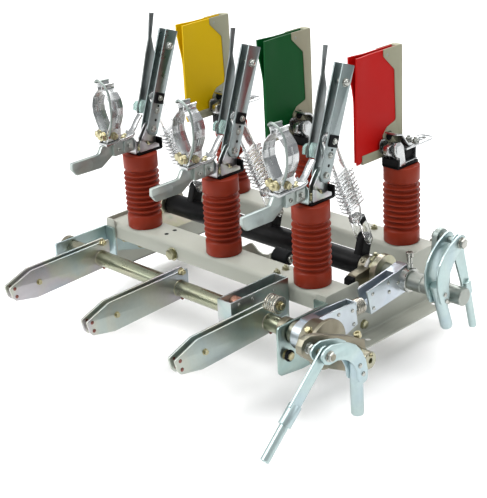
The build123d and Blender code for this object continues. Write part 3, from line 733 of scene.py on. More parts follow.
# fuse clips
bm = bmesh.new()
for x in PHASES:
    for sg in (-1, 1):
        path = [(2.5, 184), (9, 186), (10, 199), (19, 216), (25, 231), (26, 244), (22, 259), (13, 269.6), (4.2, 276.8), (8.6, 286.6)]
        p2 = [(x + sg * a, b) for a, b in path]
        strip(bm, p2, 2.0, -79, -51, "y", 6.0, 0.6)
        # pressed stiffening bead down the middle of each arm
        bead = [(x + sg * (a + 1.0), -65, b) for a, b in rnd([(19.6, 218), (24.6, 232), (25.2, 244), (22, 257)], 6, False)]
        tube(bm, bead, 2.0, 8)
        # folded collar at the foot
        strip(bm, [(x + sg * 13.0, 204), (x + sg * 12.4, 190), (x + sg * 9.4, 182.8), (x + sg * 2, 182.6)], 2.2, -80, -50, "y", 3.0, 0.5)
    rbox(bm, x - 8, x + 8, -80, -50, 180.5, 183.6, 0.8)
make("clips", bm, "clip_silver", "root", ("fuse_clips",))

bm = bmesh.new()
for x in PHASES:
    # wire bail over the open end
    pts = [(x - 9.4, -50, 287.5), (x - 10, -68, 288.5), (x - 10, -81, 289), (x - 2, -82, 296), (x + 14, -82, 291), (x + 26, -82, 278), (x + 29, -82, 262), (x + 30, -82, 236), (x + 26, -82, 214), (x + 17, -81, 197)]
    tube(bm, smooth_path(pts, 7, 6), 2.0, 10)
make("bails", bm, "dark_steel", "root")

bm = bmesh.new()
for x in PHASES:
    hexhead(bm, (x - 14.0, -68, 193), (-1, 0, -0.1), 13, 7.0, 0.2, (8.0, 1.4))
    hexhead(bm, (x + 14.0, -68, 193), (1, 0, -0.1), 11, 5.0, 0.2, (7.0, 1.2))
    hexhead(bm, (x + 2, -80.2, 193), (0, -1, 0), 14, 7.0, 0.5, (8.4, 1.4), thread=3.0)
    hexhead(bm, (x - 9.5, -80.2, 196), (0, -1, 0), 12, 6.0, 0.1, (7.4, 1.4))
    hexhead(bm, (x - 9, -68, 175.3), (0, 0, -1), 9, 5.0, 0.4, (6.4, 1.0))
    dome(bm, (x + 4, -40, 180.6), (0, 0, 1), 5.2, 3.4, (7.0, 1.2))
    dome(bm, (x - 4, -28, 181.4), (0, 0, 1), 3.4, 2.4)
make("clip_bolts", bm, "brass", "root")

bm = bmesh.new()
for x in PHASES:
    tg = [(-157, 163), (-158, 150), (-149, 138.5), (-92, 137.5), (-62, 156), (-62, 174), (-88, 176), (-96, 163)]
    plate(bm, rnd(tg, [2, 3, 3, 10, 6, 1, 1, 8]), x - 4, x + 4, "x", (), 1.0)
    rbox(bm, x - 9, x + 9, -66, -20, 152, 175.5, 1.2)
    rbox(bm, x - 12, x + 12, -44, -24, 156, 175.5, 1.0)
make("earth_tongues", bm, "tongue_zinc", "root", ("earth_contacts",))
bm = bmesh.new()
for x in PHASES:
    # tip of the tongue, silvered on the real part, here a thin skin over both flanks in the tongue's zinc material
    for sg in (-1, 1):
        xa, xb = sorted((x + sg * 3.9, x + sg * 4.25))
        plate(bm, rnd([(-156, 162), (-157, 150.5), (-148.6, 139.4), (-122, 139.2), (-112, 146), (-112, 156), (-120, 161)], [1, 2, 2, 6, 8, 8, 8]), xa, xb, "x", (), 0.1)
make("tongue_tips", bm, "tongue_zinc", "root")
bm = bmesh.new()
for x in PHASES:
    hexhead(bm, (x + 12, -34, 166), (1, 0, 0), 8, 4.0, 0.2, (5.6, 1.0))
    sock(bm, (x + 9, -56, 163), (1, 0, 0), 3.6, 3.0)
    hexhead(bm, (x - 12, -34, 166), (-1, 0, 0), 8, 4.0, 0.2, (5.6, 1.0))
make("tongue_bolts", bm, "bolt_zinc", "root")

# ---------------------------------------------------------------------------
# rear contacts
# ---------------------------------------------------------------------------
bm = bmesh.new()
for x in PHASES:
    plate(bm, rnd([(x - 18, 203), (x - 18, 260), (x + 18, 260), (x + 18, 203)], 3), 141.6, 146.6, "z", (), 0.8)
    plate(bm, rnd([(203, 143), (203, 158), (205, 159), (207, 157), (207, 143)], 0.8), x - 18, x + 18, "x", (), 0.6)
    rbox(bm, x - 9, x + 9, 232, 256, 149.6, 170, 1.2)
make("caps_rear", bm, "black_plastic", "root", ("rear_caps",))

bm = bmesh.new()
for x in PHASES:
    rbox(bm, x - 15.2, x + 15.2, 207.5, 259, 146.6, 149.6, 0.6)
    rbox(bm, x - 14, x + 14, 256, 259, 149, 170, 0.5)
    for sg in (-1, 1):
        xa, xb = sorted((x + sg * 15.2, x + sg * 18.0))
        plate(bm, rnd([(208, 146.6), (224, 146.6), (221, 166), (218, 182), (211, 190), (200, 191), (195, 186), (195, 173), (200, 166), (208, 162)], [0, 1, 4, 4, 5, 4, 3, 4, 3, 2]), xa, xb, "x", (), 0.6)
        # raised spring pad on the cheek
        xc_, xd_ = sorted((x + sg * 17.8, x + sg * 19.2))
        if sg > 0:
            plate(bm, rnd([(198, 187), (210, 187), (210, 174), (205, 168), (198, 173)], [3, 3, 4, 4, 4]), xc_, xd_, "x", (), 0.5)
    plate(bm, rnd([(208, 149), (230, 149), (230, 172), (224, 184), (208, 187), (193, 183), (191, 169), (201, 163), (208, 162)], [0, 0, 6, 6, 8, 4, 4, 4, 2]), x - 6, x + 6, "x", (), 1.5)
make("jaws", bm, "clip_silver", "root", ("contact_jaws",))

bm = bmesh.new()
for x in PHASES:
    out = [(x - 15, 230), (x - 15, 298)] + [(x + 15 * cos(radians(a)), 298 + 12.6 * sin(radians(a))) for a in range(168, 8, -16)] + [(x + 15, 298), (x + 15, 230)]
    slot_ = [(x + 5.5 * cos(radians(a)), 293 + 5.5 * sin(radians(a))) for a in range(0, 181, 18)] + [(x - 5.5 * cos(radians(a)), 289 - 5.5 * sin(radians(a))) for a in range(0, 181, 18)]
    plate(bm, out, 170, 174, "z", (slot_,), 0.6)
    # curved contact foot in front of the pad
    strip(bm, [(206, 203), (222, 199), (232, 186), (240, 176), (252, 174.6)], 2.6, x - 13, x + 13, "x", 8.0, 0.5)
make("terminal_pads", bm, "clip_silver", "root", ("terminals",))
bm = bmesh.new()
for x in PHASES:
    for xx in (x - 7.5, x + 7.5):
        hexhead(bm, (xx, 264, 174), (0, 0, 1), 9.5, 5.5, 0.2, (6.6, 1.4), thread=3.6)
make("terminal_bolts", bm, "bolt_zinc", "root")


# ---------------------------------------------------------------------------
# arc chutes
# ---------------------------------------------------------------------------
def sstep(t):
    t = max(0.0, min(1.0, t))
    return t * t * (3 - 2 * t)


def chute_plate(bm, xc, sg):
    h = 4.0
    ny, nz = 18, 30
    def flare(y, z):
        return (5.2 if sg < 0 else 2.5) * sstep((z - 255) / 88.0) * sstep((182 - y) / 41.0)
    def pos(i, j, outer):
        zb = 165 - 6.0 * (1.0 - sstep((i / ny * 104 - 8.0) / 5.0))
        z = zb + (344.0 - zb) * j / nz
        yf = 141.0 if sg > 0 else 149.0 - 7.0 * sstep((z - 262) / 75.0)
        y = yf + (248 - yf) * (i / ny)
        x = xc + sg * (h + (3.0 if outer else 0.0) + flare(y, z))
        return Vector((x, y, z))
    g = {}
    for o in (0, 1):
        for i in range(ny + 1):
            for j in range(nz + 1):
                g[o, i, j] = bm.verts.new(pos(i, j, o))
    for o in (0, 1):
        for i in range(ny):
            for j in range(nz):
                bm.faces.new((g[o, i, j], g[o, i + 1, j], g[o, i + 1, j + 1], g[o, i, j + 1]))
    for i in range(ny):
        bm.faces.new((g[0, i, 0], g[0, i + 1, 0], g[1, i + 1, 0], g[1, i, 0]))
        bm.faces.new((g[0, i, nz], g[0, i + 1, nz], g[1, i + 1, nz], g[1, i, nz]))
    for j in range(nz):
        bm.faces.new((g[0, 0, j], g[0, 0, j + 1], g[1, 0, j + 1], g[1, 0, j]))
        bm.faces.new((g[0, ny, j], g[0, ny, j + 1], g[1, ny, j + 1], g[1, ny, j]))


for n, x in enumerate(PHASES):
    xc = x - 27.0
    bm = bmesh.new()
    for sg in (-1, 1):
        chute_plate(bm, xc, sg)
    col = ("chute_yellow", "chute_green", "chute_red")[n]
    make("chute_plates_%d" % (n + 1), bm, col, "root", ("arc_chute_%d" % (n + 1),), 30)

bm = bmesh.new()
for x in PHASES:
    xc = x - 27.0
    rbox(bm, xc - 7, xc + 7, 248, 261, 157, 345, 1.0)
    rbox(bm, xc - 7, xc + 7, 153, 249, 157, 165, 1.0)
    for sg in (-1, 1):
        xa, xb = sorted((xc + sg * 6.8, xc + sg * 8.5))
        o = [(153, 157), (261, 157), (261, 345), (211, 345), (211, 333), (240, 305), (243, 215), (219, 208), (208, 196), (208, 173), (153, 173)]
        plate(bm, rnd(o, [1, 2, 3, 1, 4, 5, 5, 8, 8, 1, 1]), xa, xb, "x", (circ(224, 192, 6.0),), 0.5)
make("chute_shells", bm, "chute_frame", "root", ("chute_frames",))
bm = bmesh.new()
for x in PHASES:
    xc = x - 27.0
    for sg in (-1, 1):
        o = Vector((xc + sg * 6.9, 224, 192))
        lathe(bm, o, (sg, 0, 0), [(0, 0), (0.2, 4.6), (1.2, 5.0), (1.6, 7.2), (2.3, 8.2), (3.0, 7.6), (3.2, 6.0), (2.2, 4.9), (0.9, 4.2), (0.9, 0)], 32)
make("chute_plugs", bm, "rubber", "root")
bm = bmesh.new()
for x in PHASES:
    xc = x - 27.0
    for sg in (-1, 1):
        sock(bm, (xc + sg * 8.3, 221, 334), (sg, 0, 0), 2.6, 0.9)
        sock(bm, (xc + sg * 8.3, 250, 168), (sg, 0, 0), 2.6, 0.9)
make("chute_screws", bm, "grey_zinc", "root")


# ---------------------------------------------------------------------------
# moving blades
# ---------------------------------------------------------------------------
def along(o, ang, s, v):
    return (o[0] + s * cos(ang) - v * sin(ang), o[1] + s * sin(ang) + v * cos(ang))


for n, x in enumerate(PHASES):
    i = n + 1
    body = "blade_%d" % i
    bm = bmesh.new()
    prof = [along(PIV, BLADE_A, s, v) for s, v in ((-12, -9), (-8, -13), (181, -14.5), (181, 14.5), (-4, 13), (-12, 6))]
    for sg in (-1, 1):
        xa, xb = sorted((x + sg * 7.0, x + sg * 10.0))
        plate(bm, rnd(prof, [4, 5, 1.2, 1.2, 7, 5]), xa, xb, "x", (), 0.7)
    p1 = along(PIV, BLADE_A, 152, 0)
    cyl(bm, (x - 12, p1[0], p1[1]), (x + 12, p1[0], p1[1]), 3.4, 0.5, 20)
    cyl(bm, (x - 7.2, PXP[0], PXP[1]), (x + 7.2, PXP[0], PXP[1]), 4.0, 0.2, 20)
    make("blade_bars_%d" % i, bm, "silver_plate", body, ("blade_%d" % i,))
    bm = bmesh.new()
    p2 = along(PIV, BLADE_A, 22, 0)
    dome(bm, (x + 10, p1[0], p1[1]), (1, 0, 0), 6.4, 6.4, (7.4, 1.0))
    dome(bm, (x - 10, p1[0], p1[1]), (-1, 0, 0), 6.2, 7.0, (7.2, 0.8))
    ring(bm, (x - 3.5, p1[0], p1[1]), (x + 3.5, p1[0], p1[1]), 6.0, 3.4, 0.6, 24)
    q = along(PIV, BLADE_A, 33, -1)
    dome(bm, (x + 10, q[0], q[1]), (1, 0, 0), 4.8, 3.6, (6.0, 0.8))
    dome(bm, (x - 10, q[0], q[1]), (-1, 0, 0), 4.8, 3.0, (6.0, 0.8))
    sock(bm, (x + 10, PIV[0], PIV[1]), (1, 0, 0), 5.2, 3.2, (6.4, 0.8))
    hexhead(bm, (x + 13.6, PXP[0], PXP[1]), (1, 0, 0), 7.4, 3.0, 0.4, (5.2, 0.6))
    make("blade_bolts_%d" % i, bm, "bolt_zinc", body)
    bm = bmesh.new()
    q = along(PIV, BLADE_A, 16, -2)
    lathe(bm, (x + 9.9, q[0], q[1]), (1, 0, 0), [(0, 0), (0, 2.6), (0.25, 2.6), (0.25, 0)], 18)
    # black retainer square on the pull rod pivot
    o = along(PXP, BLADE_A, 0, 0)
    sq = [along(PXP, BLADE_A, s, v) for s, v in ((-10, -10), (10, -10), (10, 10), (-10, 10))]
    plate(bm, rnd(sq, 1.5), x + 10, x + 13.6, "x", (), 0.6)
    plate(bm, rnd(sq, 1.5), x - 12.6, x - 10, "x", (), 0.6)
    q = along(PIV, BLADE_A, 42, -2)
    dome(bm, (x + 9.9, q[0], q[1]), (1, 0, 0), 2.2, 1.4)
    make("blade_blacks_%d" % i, bm, "black_plastic", body)
    # arc blade with its foot
    bm = bmesh.new()
    xc = x - 27.0
    o = [(22, 205), (40, 200), (62, 246), (75.5, 309), (71.5, 337), (81, 379.5), (71, 382), (64, 336), (55, 311), (38, 252)]
    plate(bm, rnd(o, [3, 2, 10, 14, 12, 1.2, 1.2, 20, 16, 12]), xc - 1.5, xc + 1.5, "x", (), 0.6)
    make("arc_bar_%d" % i, bm, "arc_steel", body, ("arc_blade_%d" % i,))
    bm = bmesh.new()
    blk = [(26, 206), (41, 202), (46, 218), (42, 226), (33, 229), (27, 220)]
    plate(bm, rnd(blk, [2, 2, 4, 3, 3, 3]), xc + 1.6, x - 10.1, "x", (), 1.2)
    blk = [(20, 210), (34, 206), (38, 220), (30, 227), (22, 222)]
    plate(bm, rnd(blk, [2, 2, 4, 3, 3]), xc - 7.6, xc - 1.6, "x", (), 1.2)
    make("arc_block_%d" % i, bm, "clear_block", body)

# ---------------------------------------------------------------------------
# pull rods
# ---------------------------------------------------------------------------
RD = atan2(QP[1] - PXP[1], QP[0] - PXP[0])
RL = hypot(QP[1] - PXP[1], QP[0] - PXP[0])
for n, x in enumerate(PHASES):
    i = n + 1
    bm = bmesh.new()
    P = lambda s, v: along(PXP, RD, s, v)
    o = [P(-11, -9), P(0, -11), P(62, -12), P(70, -13), P(RL - 60, -13), P(RL - 52, -9), P(RL - 40, -9), P(RL - 40, 9), P(RL - 52, 9), P(RL - 60, 13), P(70, 13), P(62, 12), P(0, 11), P(-11, 9)]
    plate(bm, rnd(o, [6, 6, 4, 4, 6, 6, 2, 2, 6, 6, 4, 4, 6, 6]), x - 4.5, x + 4.5, "x", (circ(PXP[0], PXP[1], 4.2),), 1.2)
    a = RD
    for k in range(9):
        s = 74 + k * 8.4
        c = P(s, 0)
        m = bmesh.new()
        bmesh.ops.create_cube(m, size=1.0)
        for v in m.verts:
            v.co = Vector((v.co.x * 20, v.co.y * 44, v.co.z * 3.6))
        es = m.edges[:]
        bmesh.ops.bevel(m, geom=[e for e in es if abs(e.verts[0].co.z - e.verts[1].co.z) > 1], offset=3.5, segments=3, profile=0.5, affect="EDGES")
        bmesh.ops.bevel(m, geom=[e for e in m.edges if e.calc_face_angle(0) > 1.2], offset=0.9, segments=2, profile=0.5, affect="EDGES", clamp_overlap=True)
        # local: x across, y across the rod in the plane, z along the rod
        dy, dz = cos(a), sin(a)
        merge(bm, m, lambda co, c=c: Vector((x + co.x, c[0] - co.y * dz + co.z * dy, c[1] + co.y * dy + co.z * dz)))
    for sg in (-1, 1):
        xa, xb = sorted((x + sg * 9.0, x + sg * 12.0))
        c = P(RL - 44, 0)
        plate(bm, lobe_pts(c[0], c[1], 9.0, QP[0], QP[1], 8.5), xa, xb, "x", (), 0.9)
    c = P(RL - 45, 0)
    m = bmesh.new()
    bmesh.ops.create_cube(m, size=1.0)
    for v in m.verts:
        v.co = Vector((v.co.x * 24, v.co.y * 18, v.co.z * 14))
    bmesh.ops.bevel(m, geom=m.edges[:], offset=1.5, segments=2, profile=0.5, affect="EDGES")
    dy, dz = cos(a), sin(a)
    merge(bm, m, lambda co, c=c: Vector((x + co.x, c[0] - co.y * dz + co.z * dy, c[1] + co.y * dy + co.z * dz)))
    make("rod_%d_clear" % i, bm, "clear_plastic", "rod_%d" % i, ("pull_rod_%d" % i,))
    bm = bmesh.new()
    cyl(bm, (x - 13.6, QP[0], QP[1]), (x + 13.6, QP[0], QP[1]), 3.5, 0.5, 24)
    dome(bm, (x + 12.0, QP[0], QP[1]), (1, 0, 0), 5.6, 2.4)
    dome(bm, (x - 12.0, QP[0], QP[1]), (-1, 0, 0), 5.6, 2.4)
    make("rod_pin_%d" % i, bm, "bolt_zinc", "rod_%d" % i)

# ---------------------------------------------------------------------------
# main shaft
# ---------------------------------------------------------------------------
bm = bmesh.new()
cyl(bm, (-66, MAIN[0], MAIN[1]), (430, MAIN[0], MAIN[1]), 20.0, 1.2, 56)
make("shaft_tube", bm, "black_steel", "main_shaft", ("main_tube",))
bm = bmesh.new()
for x in PHASES:
    la = radians(73)
    lp = lobe_pts(MAIN[0] + 10 * cos(la), MAIN[1] + 10 * sin(la), 12.0, QP[0], QP[1], 11.5)
    plate(bm, lp, x - 8, x + 8, "x", (circ(QP[0], QP[1], 7.0),), 1.2)
    # weld bead round the foot of the lever
    for sg in (-1, 1):
        pts = [(x + sg * 8.3, MAIN[0] + 20.2 * cos(radians(t)), MAIN[1] + 20.2 * sin(radians(t))) for t in range(42, 106, 6)]
        tube(bm, pts, 1.3, 7)
make("shaft_levers", bm, "black_steel", "main_shaft", ("main_levers",))
bm = bmesh.new()
lathe(bm, (430, MAIN[0], MAIN[1]), (1, 0, 0), [(30, 0), (30, 15.4), (30.6, 16), (129, 16), (130, 15), (209, 15), (210, 14), (210, 0)], 48)
make("shaft_end", bm, "grey_zinc", "main_shaft", ("main_operating_shaft",))
bm = bmesh.new()
lathe(bm, (430, MAIN[0], MAIN[1]), (1, 0, 0), [(0, 0), (0, 18.4), (0.8, 19), (14, 19), (15, 18.2), (15, 0)], 48)
sock(bm, (437, MAIN[0] - 13, MAIN[1] + 13.5), (0, -0.7, 0.72), 4.0, 3.0)
make("shaft_coupling", bm, "brown_zinc", "main_shaft")
bm = bmesh.new()
ring(bm, (445, MAIN[0], MAIN[1]), (452, MAIN[0], MAIN[1]), 20.5, 16.0, 0.8, 44)
make("shaft_white_ring", bm, "white_ring", "main_shaft")
bm = bmesh.new()
ring(bm, (452, MAIN[0], MAIN[1]), (458, MAIN[0], MAIN[1]), 18.0, 16.0, 0.5, 44)
strip(bm, [(106, 12), (112, 17), (126, 17), (134, 12)], 1.6, 452, 460, "x", 4, 0.3)
hexhead(bm, (455, 120, 17.8), (0, 0, 1), 6.5, 3.4, 0.2)
make("shaft_catch", bm, "olive_bolt", "main_shaft")

bm = bmesh.new()
plate(bm, rnd([(64, -26), (66, -4), (76, -2.5), (104, 0), (104, -24)], [2, 4, 3, 1, 1]), 438, 456, "x", (), 1.4)
make("stop_lug", bm, "brown_zinc", "main_shaft")
bm = bmesh.new()
plate(bm, rnd([(56, -20), (57, -9), (66, -4), (68, -26.5)], [4, 4, 2, 2]), 438, 456, "x", (), 1.4)
make("stop_lug_tip", bm, "rubber", "main_shaft")
RIV_MAIN = ((74, 0), (34, -6), (76, -17), (36, -32), (98, -8))
carry("main_crank", "dark_steel", 0.9)
carry("main_interlock_arm", "lavender_zinc", 0.7)
carry("earth_interlock_arm", "lavender_zinc", 0.7)
bm = bmesh.new()
for y, z in RIV_MAIN:
    dome(bm, (519.9, y, z), (1, 0, 0), 3.4, 2.2)
    dome(bm, (498.1, y, z), (-1, 0, 0), 3.4, 2.2)
ring(bm, (516, MAIN[0], MAIN[1]), (534, MAIN[0], MAIN[1]), 21.0, 15.9, 1.0, 44)
lathe(bm, (526, 122.4, 12), (0, 0, 1), [(0, 0), (0, 5.4), (8, 5.4), (9, 4.4), (20, 4.4), (20.5, 6.4), (28, 6.4), (28.6, 5.8), (28.6, 3.2), (26, 3.0), (25.6, 0)], 28)
make("main_arm_rivets", bm, "bolt_zinc", "main_shaft")
bm = bmesh.new()
for y, z in ((-17, -17), (-14, -42), (-60, -36), (-50, -12)):
    dome(bm, (519.9, y, z), (1, 0, 0), 3.4, 2.2)
    dome(bm, (498.1, y, z), (-1, 0, 0), 3.4, 2.2)
make("earth_arm_rivets", bm, "bolt_zinc", "earth_shaft")

# hand bolts of the main crank
bm = bmesh.new()
hexhead(bm, (594, C1[0], C1[1]), (1, 0, 0), 14, 7.0, 0.2, (9.5, 1.6))
hexhead(bm, (584, C1[0], C1[1]), (-1, 0, 0), 14, 6.0, 0.2, (9.5, 1.4))
cyl(bm, (559, MAIN[0] + 15.5, MAIN[1] + 12), (584, MAIN[0] + 15.5, MAIN[1] + 12), 2.2, 0.3, 14)
make("main_crank_bolts", bm, "bolt_zinc", "main_shaft")

# ---------------------------------------------------------------------------
# earthing shaft
# ---------------------------------------------------------------------------
bm = bmesh.new()
lathe(bm, (-92, EARTH[0], EARTH[1]), (1, 0, 0), [(0, 0), (0, 13), (1, 14), (731.6, 14), (732.7, 13.2), (733, 12.4), (733, 4.4), (728, 4.0), (727, 0)], 44)
make("earth_bar", bm, "shaft_zinc", "earth_shaft", ("earth_shaft",))
bm = bmesh.new()
for x in PHASES:
    for sg in (-1, 1):
        pts = [(x + sg * 9.3, EARTH[0] + 14.1 * cos(radians(t)), EARTH[1] + 14.1 * sin(radians(t))) for t in range(0, 361, 10)]
        tube(bm, pts, 1.0, 7, False)
    if x < 400:
        lathe(bm, (x + 44, EARTH[0], EARTH[1]), (1, 0, 0), [(0, 13.9), (0.1, 14.25), (1.0, 14.25), (1.1, 13.9)], 40)
make("earth_rings", bm, "olive_zinc", "earth_shaft")

T3 = 0.0


def eb(u, v):
    return (EARTH[0] - (u * cos(T3) + v * sin(T3)), EARTH[1] - u * sin(T3) + v * cos(T3))


bm = bmesh.new()
for x in PHASES:
    o = [eb(u, v) for u, v in ((-21, 30), (-21, -20), (148, -26), (192, -17), (198, -10), (203, 10), (155, 28))]
    for sg in (-1, 1):
        xa, xb = sorted((x + sg * 5.0, x + sg * 9.0))
        plate(bm, rnd(o, [4, 8, 6, 4, 4, 4, 8]), xa, xb, "x", (), 1.0)
cyl(bm, (430, -119, 11), (462, -119, 11), 3.8, 0.6, 20)
make("earth_plates", bm, "blade_zinc", "earth_shaft", ("earth_blades",))
bm = bmesh.new()
for x in PHASES:
    for u, v in ((192.5, 6.5), (190, -9)):
        y, z = eb(u, v)
        for sg in (-1, 1):
            dome(bm, (x + sg * 8.9, y, z), (sg, 0, 0), 3.3, 1.8)
        for sg in (-1, 1):
            xr = sorted((x + sg * 4.7, x + sg * 5.3))
            cyl(bm, (xr[0], y, z), (xr[1], y, z), 2.8, 0.1, 16)
    for u, v in ((-4, -20),):
        y, z = eb(u, v)
        dome(bm, (x + 8.9, y, z), (1, 0, 0), 3.4, 2.2)
make("earth_rivets", bm, "rivet_red", "earth_shaft")
bm = bmesh.new()
for x in PHASES:
    y, z = eb(141, 2)
    hexhead(bm, (x + 9, y, z), (1, 0, 0), 8, 4.0, 0.2, (5.6, 1.0))
    hexhead(bm, (x - 9, y, z), (-1, 0, 0), 8, 4.0, 0.2, (5.6, 1.0))
    y, z = eb(-4, 29.5)
    if x < 400:
        hexhead(bm, (x + 9, y, z), (1, 0, 0), 10, 6.5, 0.2, (6.6, 1.2), thread=2.0)
hexhead(bm, (431, -119, 11), (-1, 0, 0), 9, 4.0, 0.2)
hexhead(bm, (459, -119, 11), (1, 0, 0), 10, 5.0, 0.2, (8.0, 1.2))
# clamp bolt of the hub and end screw
hexhead(bm, (536, EARTH[0] - 20, EARTH[1] + 24), (0, -0.64, 0.77), 10, 6.0, 0.2, (7.0, 1.2))
sock(bm, (606, -104, -2), (0, -0.35, 0.94), 6.0, 7.0)
sock(bm, (641, EARTH[0] + 1, EARTH[1] + 9), (1, 0, 0), 3.2, 2.2)
make("earth_bolts", bm, "brass", "earth_shaft")

# coil springs
bm = bmesh.new()
tube(bm, helix((433.5, -119, 11), (456.6, -119, 11), 13.6, 5.0, 24), 1.2, 8)
ring(bm, (457, -119, 11), (458.4, -119, 11), 14.6, 4.0, 0.4)
tube(bm, helix((509, -4.6, -22), (509, 15, -22), 12.4, 5.2, 24), 1.05, 8)
make("coils", bm, "spring_steel", "earth_shaft", ("shaft_springs",))
bm = bmesh.new()
lathe(bm, (509, -10, -22), (0, 1, 0), [(0, 0), (0, 5.5), (1, 6.4), (24.6, 6.4), (24.8, 13.0), (26.2, 13.4), (26.4, 6.0), (26.4, 0)], 28)
make("spring_guide", bm, "bolt_zinc", "earth_shaft")

carry("earth_hub", "brown_zinc", 0.9)
carry("earth_crank", "brown_zinc", 1.2)

# ---------------------------------------------------------------------------
# bearing plates and spring carrier
# ---------------------------------------------------------------------------
bm = bmesh.new()
for xo, sg in ((480.0, 1), (-72.0, -1)):
    xa, xb = sorted((xo, xo + sg * 4.0))
    bp = [(-153, -8), (-36, -8), (-36, -100), (-100, -100), (-153, -93)] if sg > 0 else [(-156, -8), (-36, -8), (-36, -66), (-156, -44)]
    plate(bm, rnd(bp, [7, 2, 2, 6, 8] if sg > 0 else [4, 2, 2, 4]), xa, xb, "x", (circ(EARTH[0], EARTH[1], 14.05, 40),), 0.7)
    if sg < 0:
        plate(bm, rnd([(-31.5, -31), (75, -31), (75, -90), (-31.5, -61)], [0, 3, 5, 3]), -69, -66, "x", (), 0.6)
    x1, x2 = sorted((xo + sg * 4.0, xo - sg * 24.0))
    rbox(bm, x1, x2, -39, -35.0, -70, -8, 0.8)
make("bearing_sheets", bm, "teal_zinc", "root", ("bearing_plates",))
bm = bmesh.new()
# stop bolt through the right bearing plate: nuts, thread, bumper
hexhead(bm, (484, -136, -60), (1, 0, 0), 13, 3.4, 0.2, (8.6, 1.0))
hexhead(bm, (494, -136, -60), (1, 0, 0), 13, 2.4, 0.2)
hexhead(bm, (480, -136, -60), (-1, 0, 0), 12, 6.0, 0.2, (8.0, 1.4), thread=4.0)
for y, z in ((-50, -30), (-50, -60)):
    hexhead(bm, (484, y, z), (1, 0, 0), 8, 4.0, 0.2, (5.6, 1.0))
hexhead(bm, (-76, -50, -30), (-1, 0, 0), 8, 4.0, 0.2, (5.6, 1.0))
for y, z in ((0, -44), (38, -68.8)):
    hexhead(bm, (-66, y, z), (1, 0, 0), 12, 6.5, 0.2, (8.0, 1.2), thread=2.0)
make("stop_nuts", bm, "brass", "root")
bm = bmesh.new()
lathe(bm, (488.3, -136, -60), (1, 0, 0), [(0, 0), (0, 8), (0.8, 9.4), (2.8, 9.8), (4.9, 9.4), (5.8, 8), (5.8, 0)], 30)
make("stop_bumper", bm, "rubber", "root")

carry("spring_carrier", "blue_zinc", 0.8)
bm = bmesh.new()
lathe(bm, (369, -136, -2), (1, 0, 0), [(0, 0), (0, 10.6), (0.6, 11), (8, 11), (8.6, 10.4), (9.4, 11), (24.4, 11), (25, 10.6), (25, 0)], 36)
lathe(bm, (369.5, -153, -4), (1, 0, 0), [(0, 0), (0, 5.0), (24, 5.0), (24, 0)], 24)
make("carrier_tube", bm, "copper", "root")
bm = bmesh.new()
for y, z in ((-150, 6), (-120, 6), (-70, 2), (-70, -40)):
    dome(bm, (396.9, y, z), (1, 0, 0), 3.0, 2.0)
make("carrier_rivets", bm, "bolt_zinc", "root")

# ---------------------------------------------------------------------------
# forks and links
# ---------------------------------------------------------------------------
mf = [(120, 98), (108, 95), (94, 88), (78, 76), (67, 62), (61, 44), (62, 22), (68, 2), (72, -8), (88, -10), (93, 4), (90, 22), (94, 42), (104, 57), (116, 69), (128, 72), (135, 84), (131, 94)]
bm = bmesh.new()
for xa, xb in ((603, 607), (627, 631)):
    plate(bm, rnd(mf, 9.0), xa, xb, "x", (circ(C1[0], C1[1], 5.1),), 0.8)
pts = [Vector((617, 74.5, 24)), Vector((617, 104, -60))]
dd = (pts[1] - pts[0]).normalized()
lathe(bm, pts[0], dd, [(0, 0), (0, 9.4), (1.5, 10), (86.0, 10), (88.6, 9.0), (88.8, 6.6), (66, 6.2), (66, 0)], 36)
# the two sheets close onto the stub
for xa, xb in ((606.6, 608.6), (625.4, 627.4)):
    plate(bm, rnd([(66, 8), (70, -9), (89, -11), (93, 4), (88, 18), (74, 22)], 5), xa, xb, "x", (), 0.4)
make("main_fork_sheets", bm, "pale_zinc", "main_fork", ("main_fork",))
bm = bmesh.new()
hexhead(bm, (631, C1[0], C1[1]), (1, 0, 0), 15, 6.0, 0.3, (9.6, 1.4))
dome(bm, (631, 80, 8), (1, 0, 0), 4.0, 2.4)
dome(bm, (631, 84, -4), (1, 0, 0), 4.0, 2.4)
make("main_fork_bolts", bm, "bolt_zinc", "main_fork")

bm = bmesh.new()
ml = [(110, 84), (114, 93), (122, 97), (131, 92), (137, 80), (158, 2), (139.5, -2), (111, 74)]
plate(bm, rnd(ml, [6, 6, 8, 6, 6, 2, 2, 6]), 618, 622, "x", (circ(C1[0], C1[1], 5.1),), 0.8)
a, b = Vector((620, 148.5, 6)), Vector((620, 154, -16))
cyl(bm, a, b, 9.0, 1.0, 32)
a, b = Vector((620, 151, -4)), Vector((620, 171.5, -84))
L = (b - a).length
lathe(bm, a, b - a, [(0, 0), (0, 6.5), (L - 1.2, 6.5), (L, 5.6), (L, 0)], 28)
make("main_link_bar", bm, "pale_zinc", "main_link", ("main_link",))

ef = [(-237, 26), (-231, 16), (-222, 12), (-204, 12), (-188, 7), (-177, 0), (-167, -12), (-161, -24), (-158, -43), (-148, -48), (-138, -46), (-137, -29), (-141, -11), (-151, 8), (-163, 22), (-178, 31), (-194, 36), (-215, 41), (-228, 39), (-236, 33)]
bm = bmesh.new()
for xa, xb in ((628, 632), (649, 653)):
    plate(bm, rnd(ef, 8.0), xa, xb, "x", (circ(C2[0], C2[1], 5.1),), 0.8)
a, b = Vector((640.5, -150, -14)), Vector((640.5, -148, -104))
lathe(bm, a, b - a, [(0, 0), (0, 9.2), (1.2, 10), (87.6, 10), (89.6, 9.0), (90, 6.6), (70, 6.2), (70, 0)], 36)
for xa, xb in ((631.6, 633.6), (647.4, 649.4)):
    plate(bm, rnd([(-160, -26), (-157, -42), (-148, -47), (-138.5, -45), (-138, -28), (-142, -12), (-152, -6)], 5), xa, xb, "x", (), 0.4)
make("earth_fork_sheets", bm, "pale_zinc", "earth_fork", ("earth_fork",))
bm = bmesh.new()
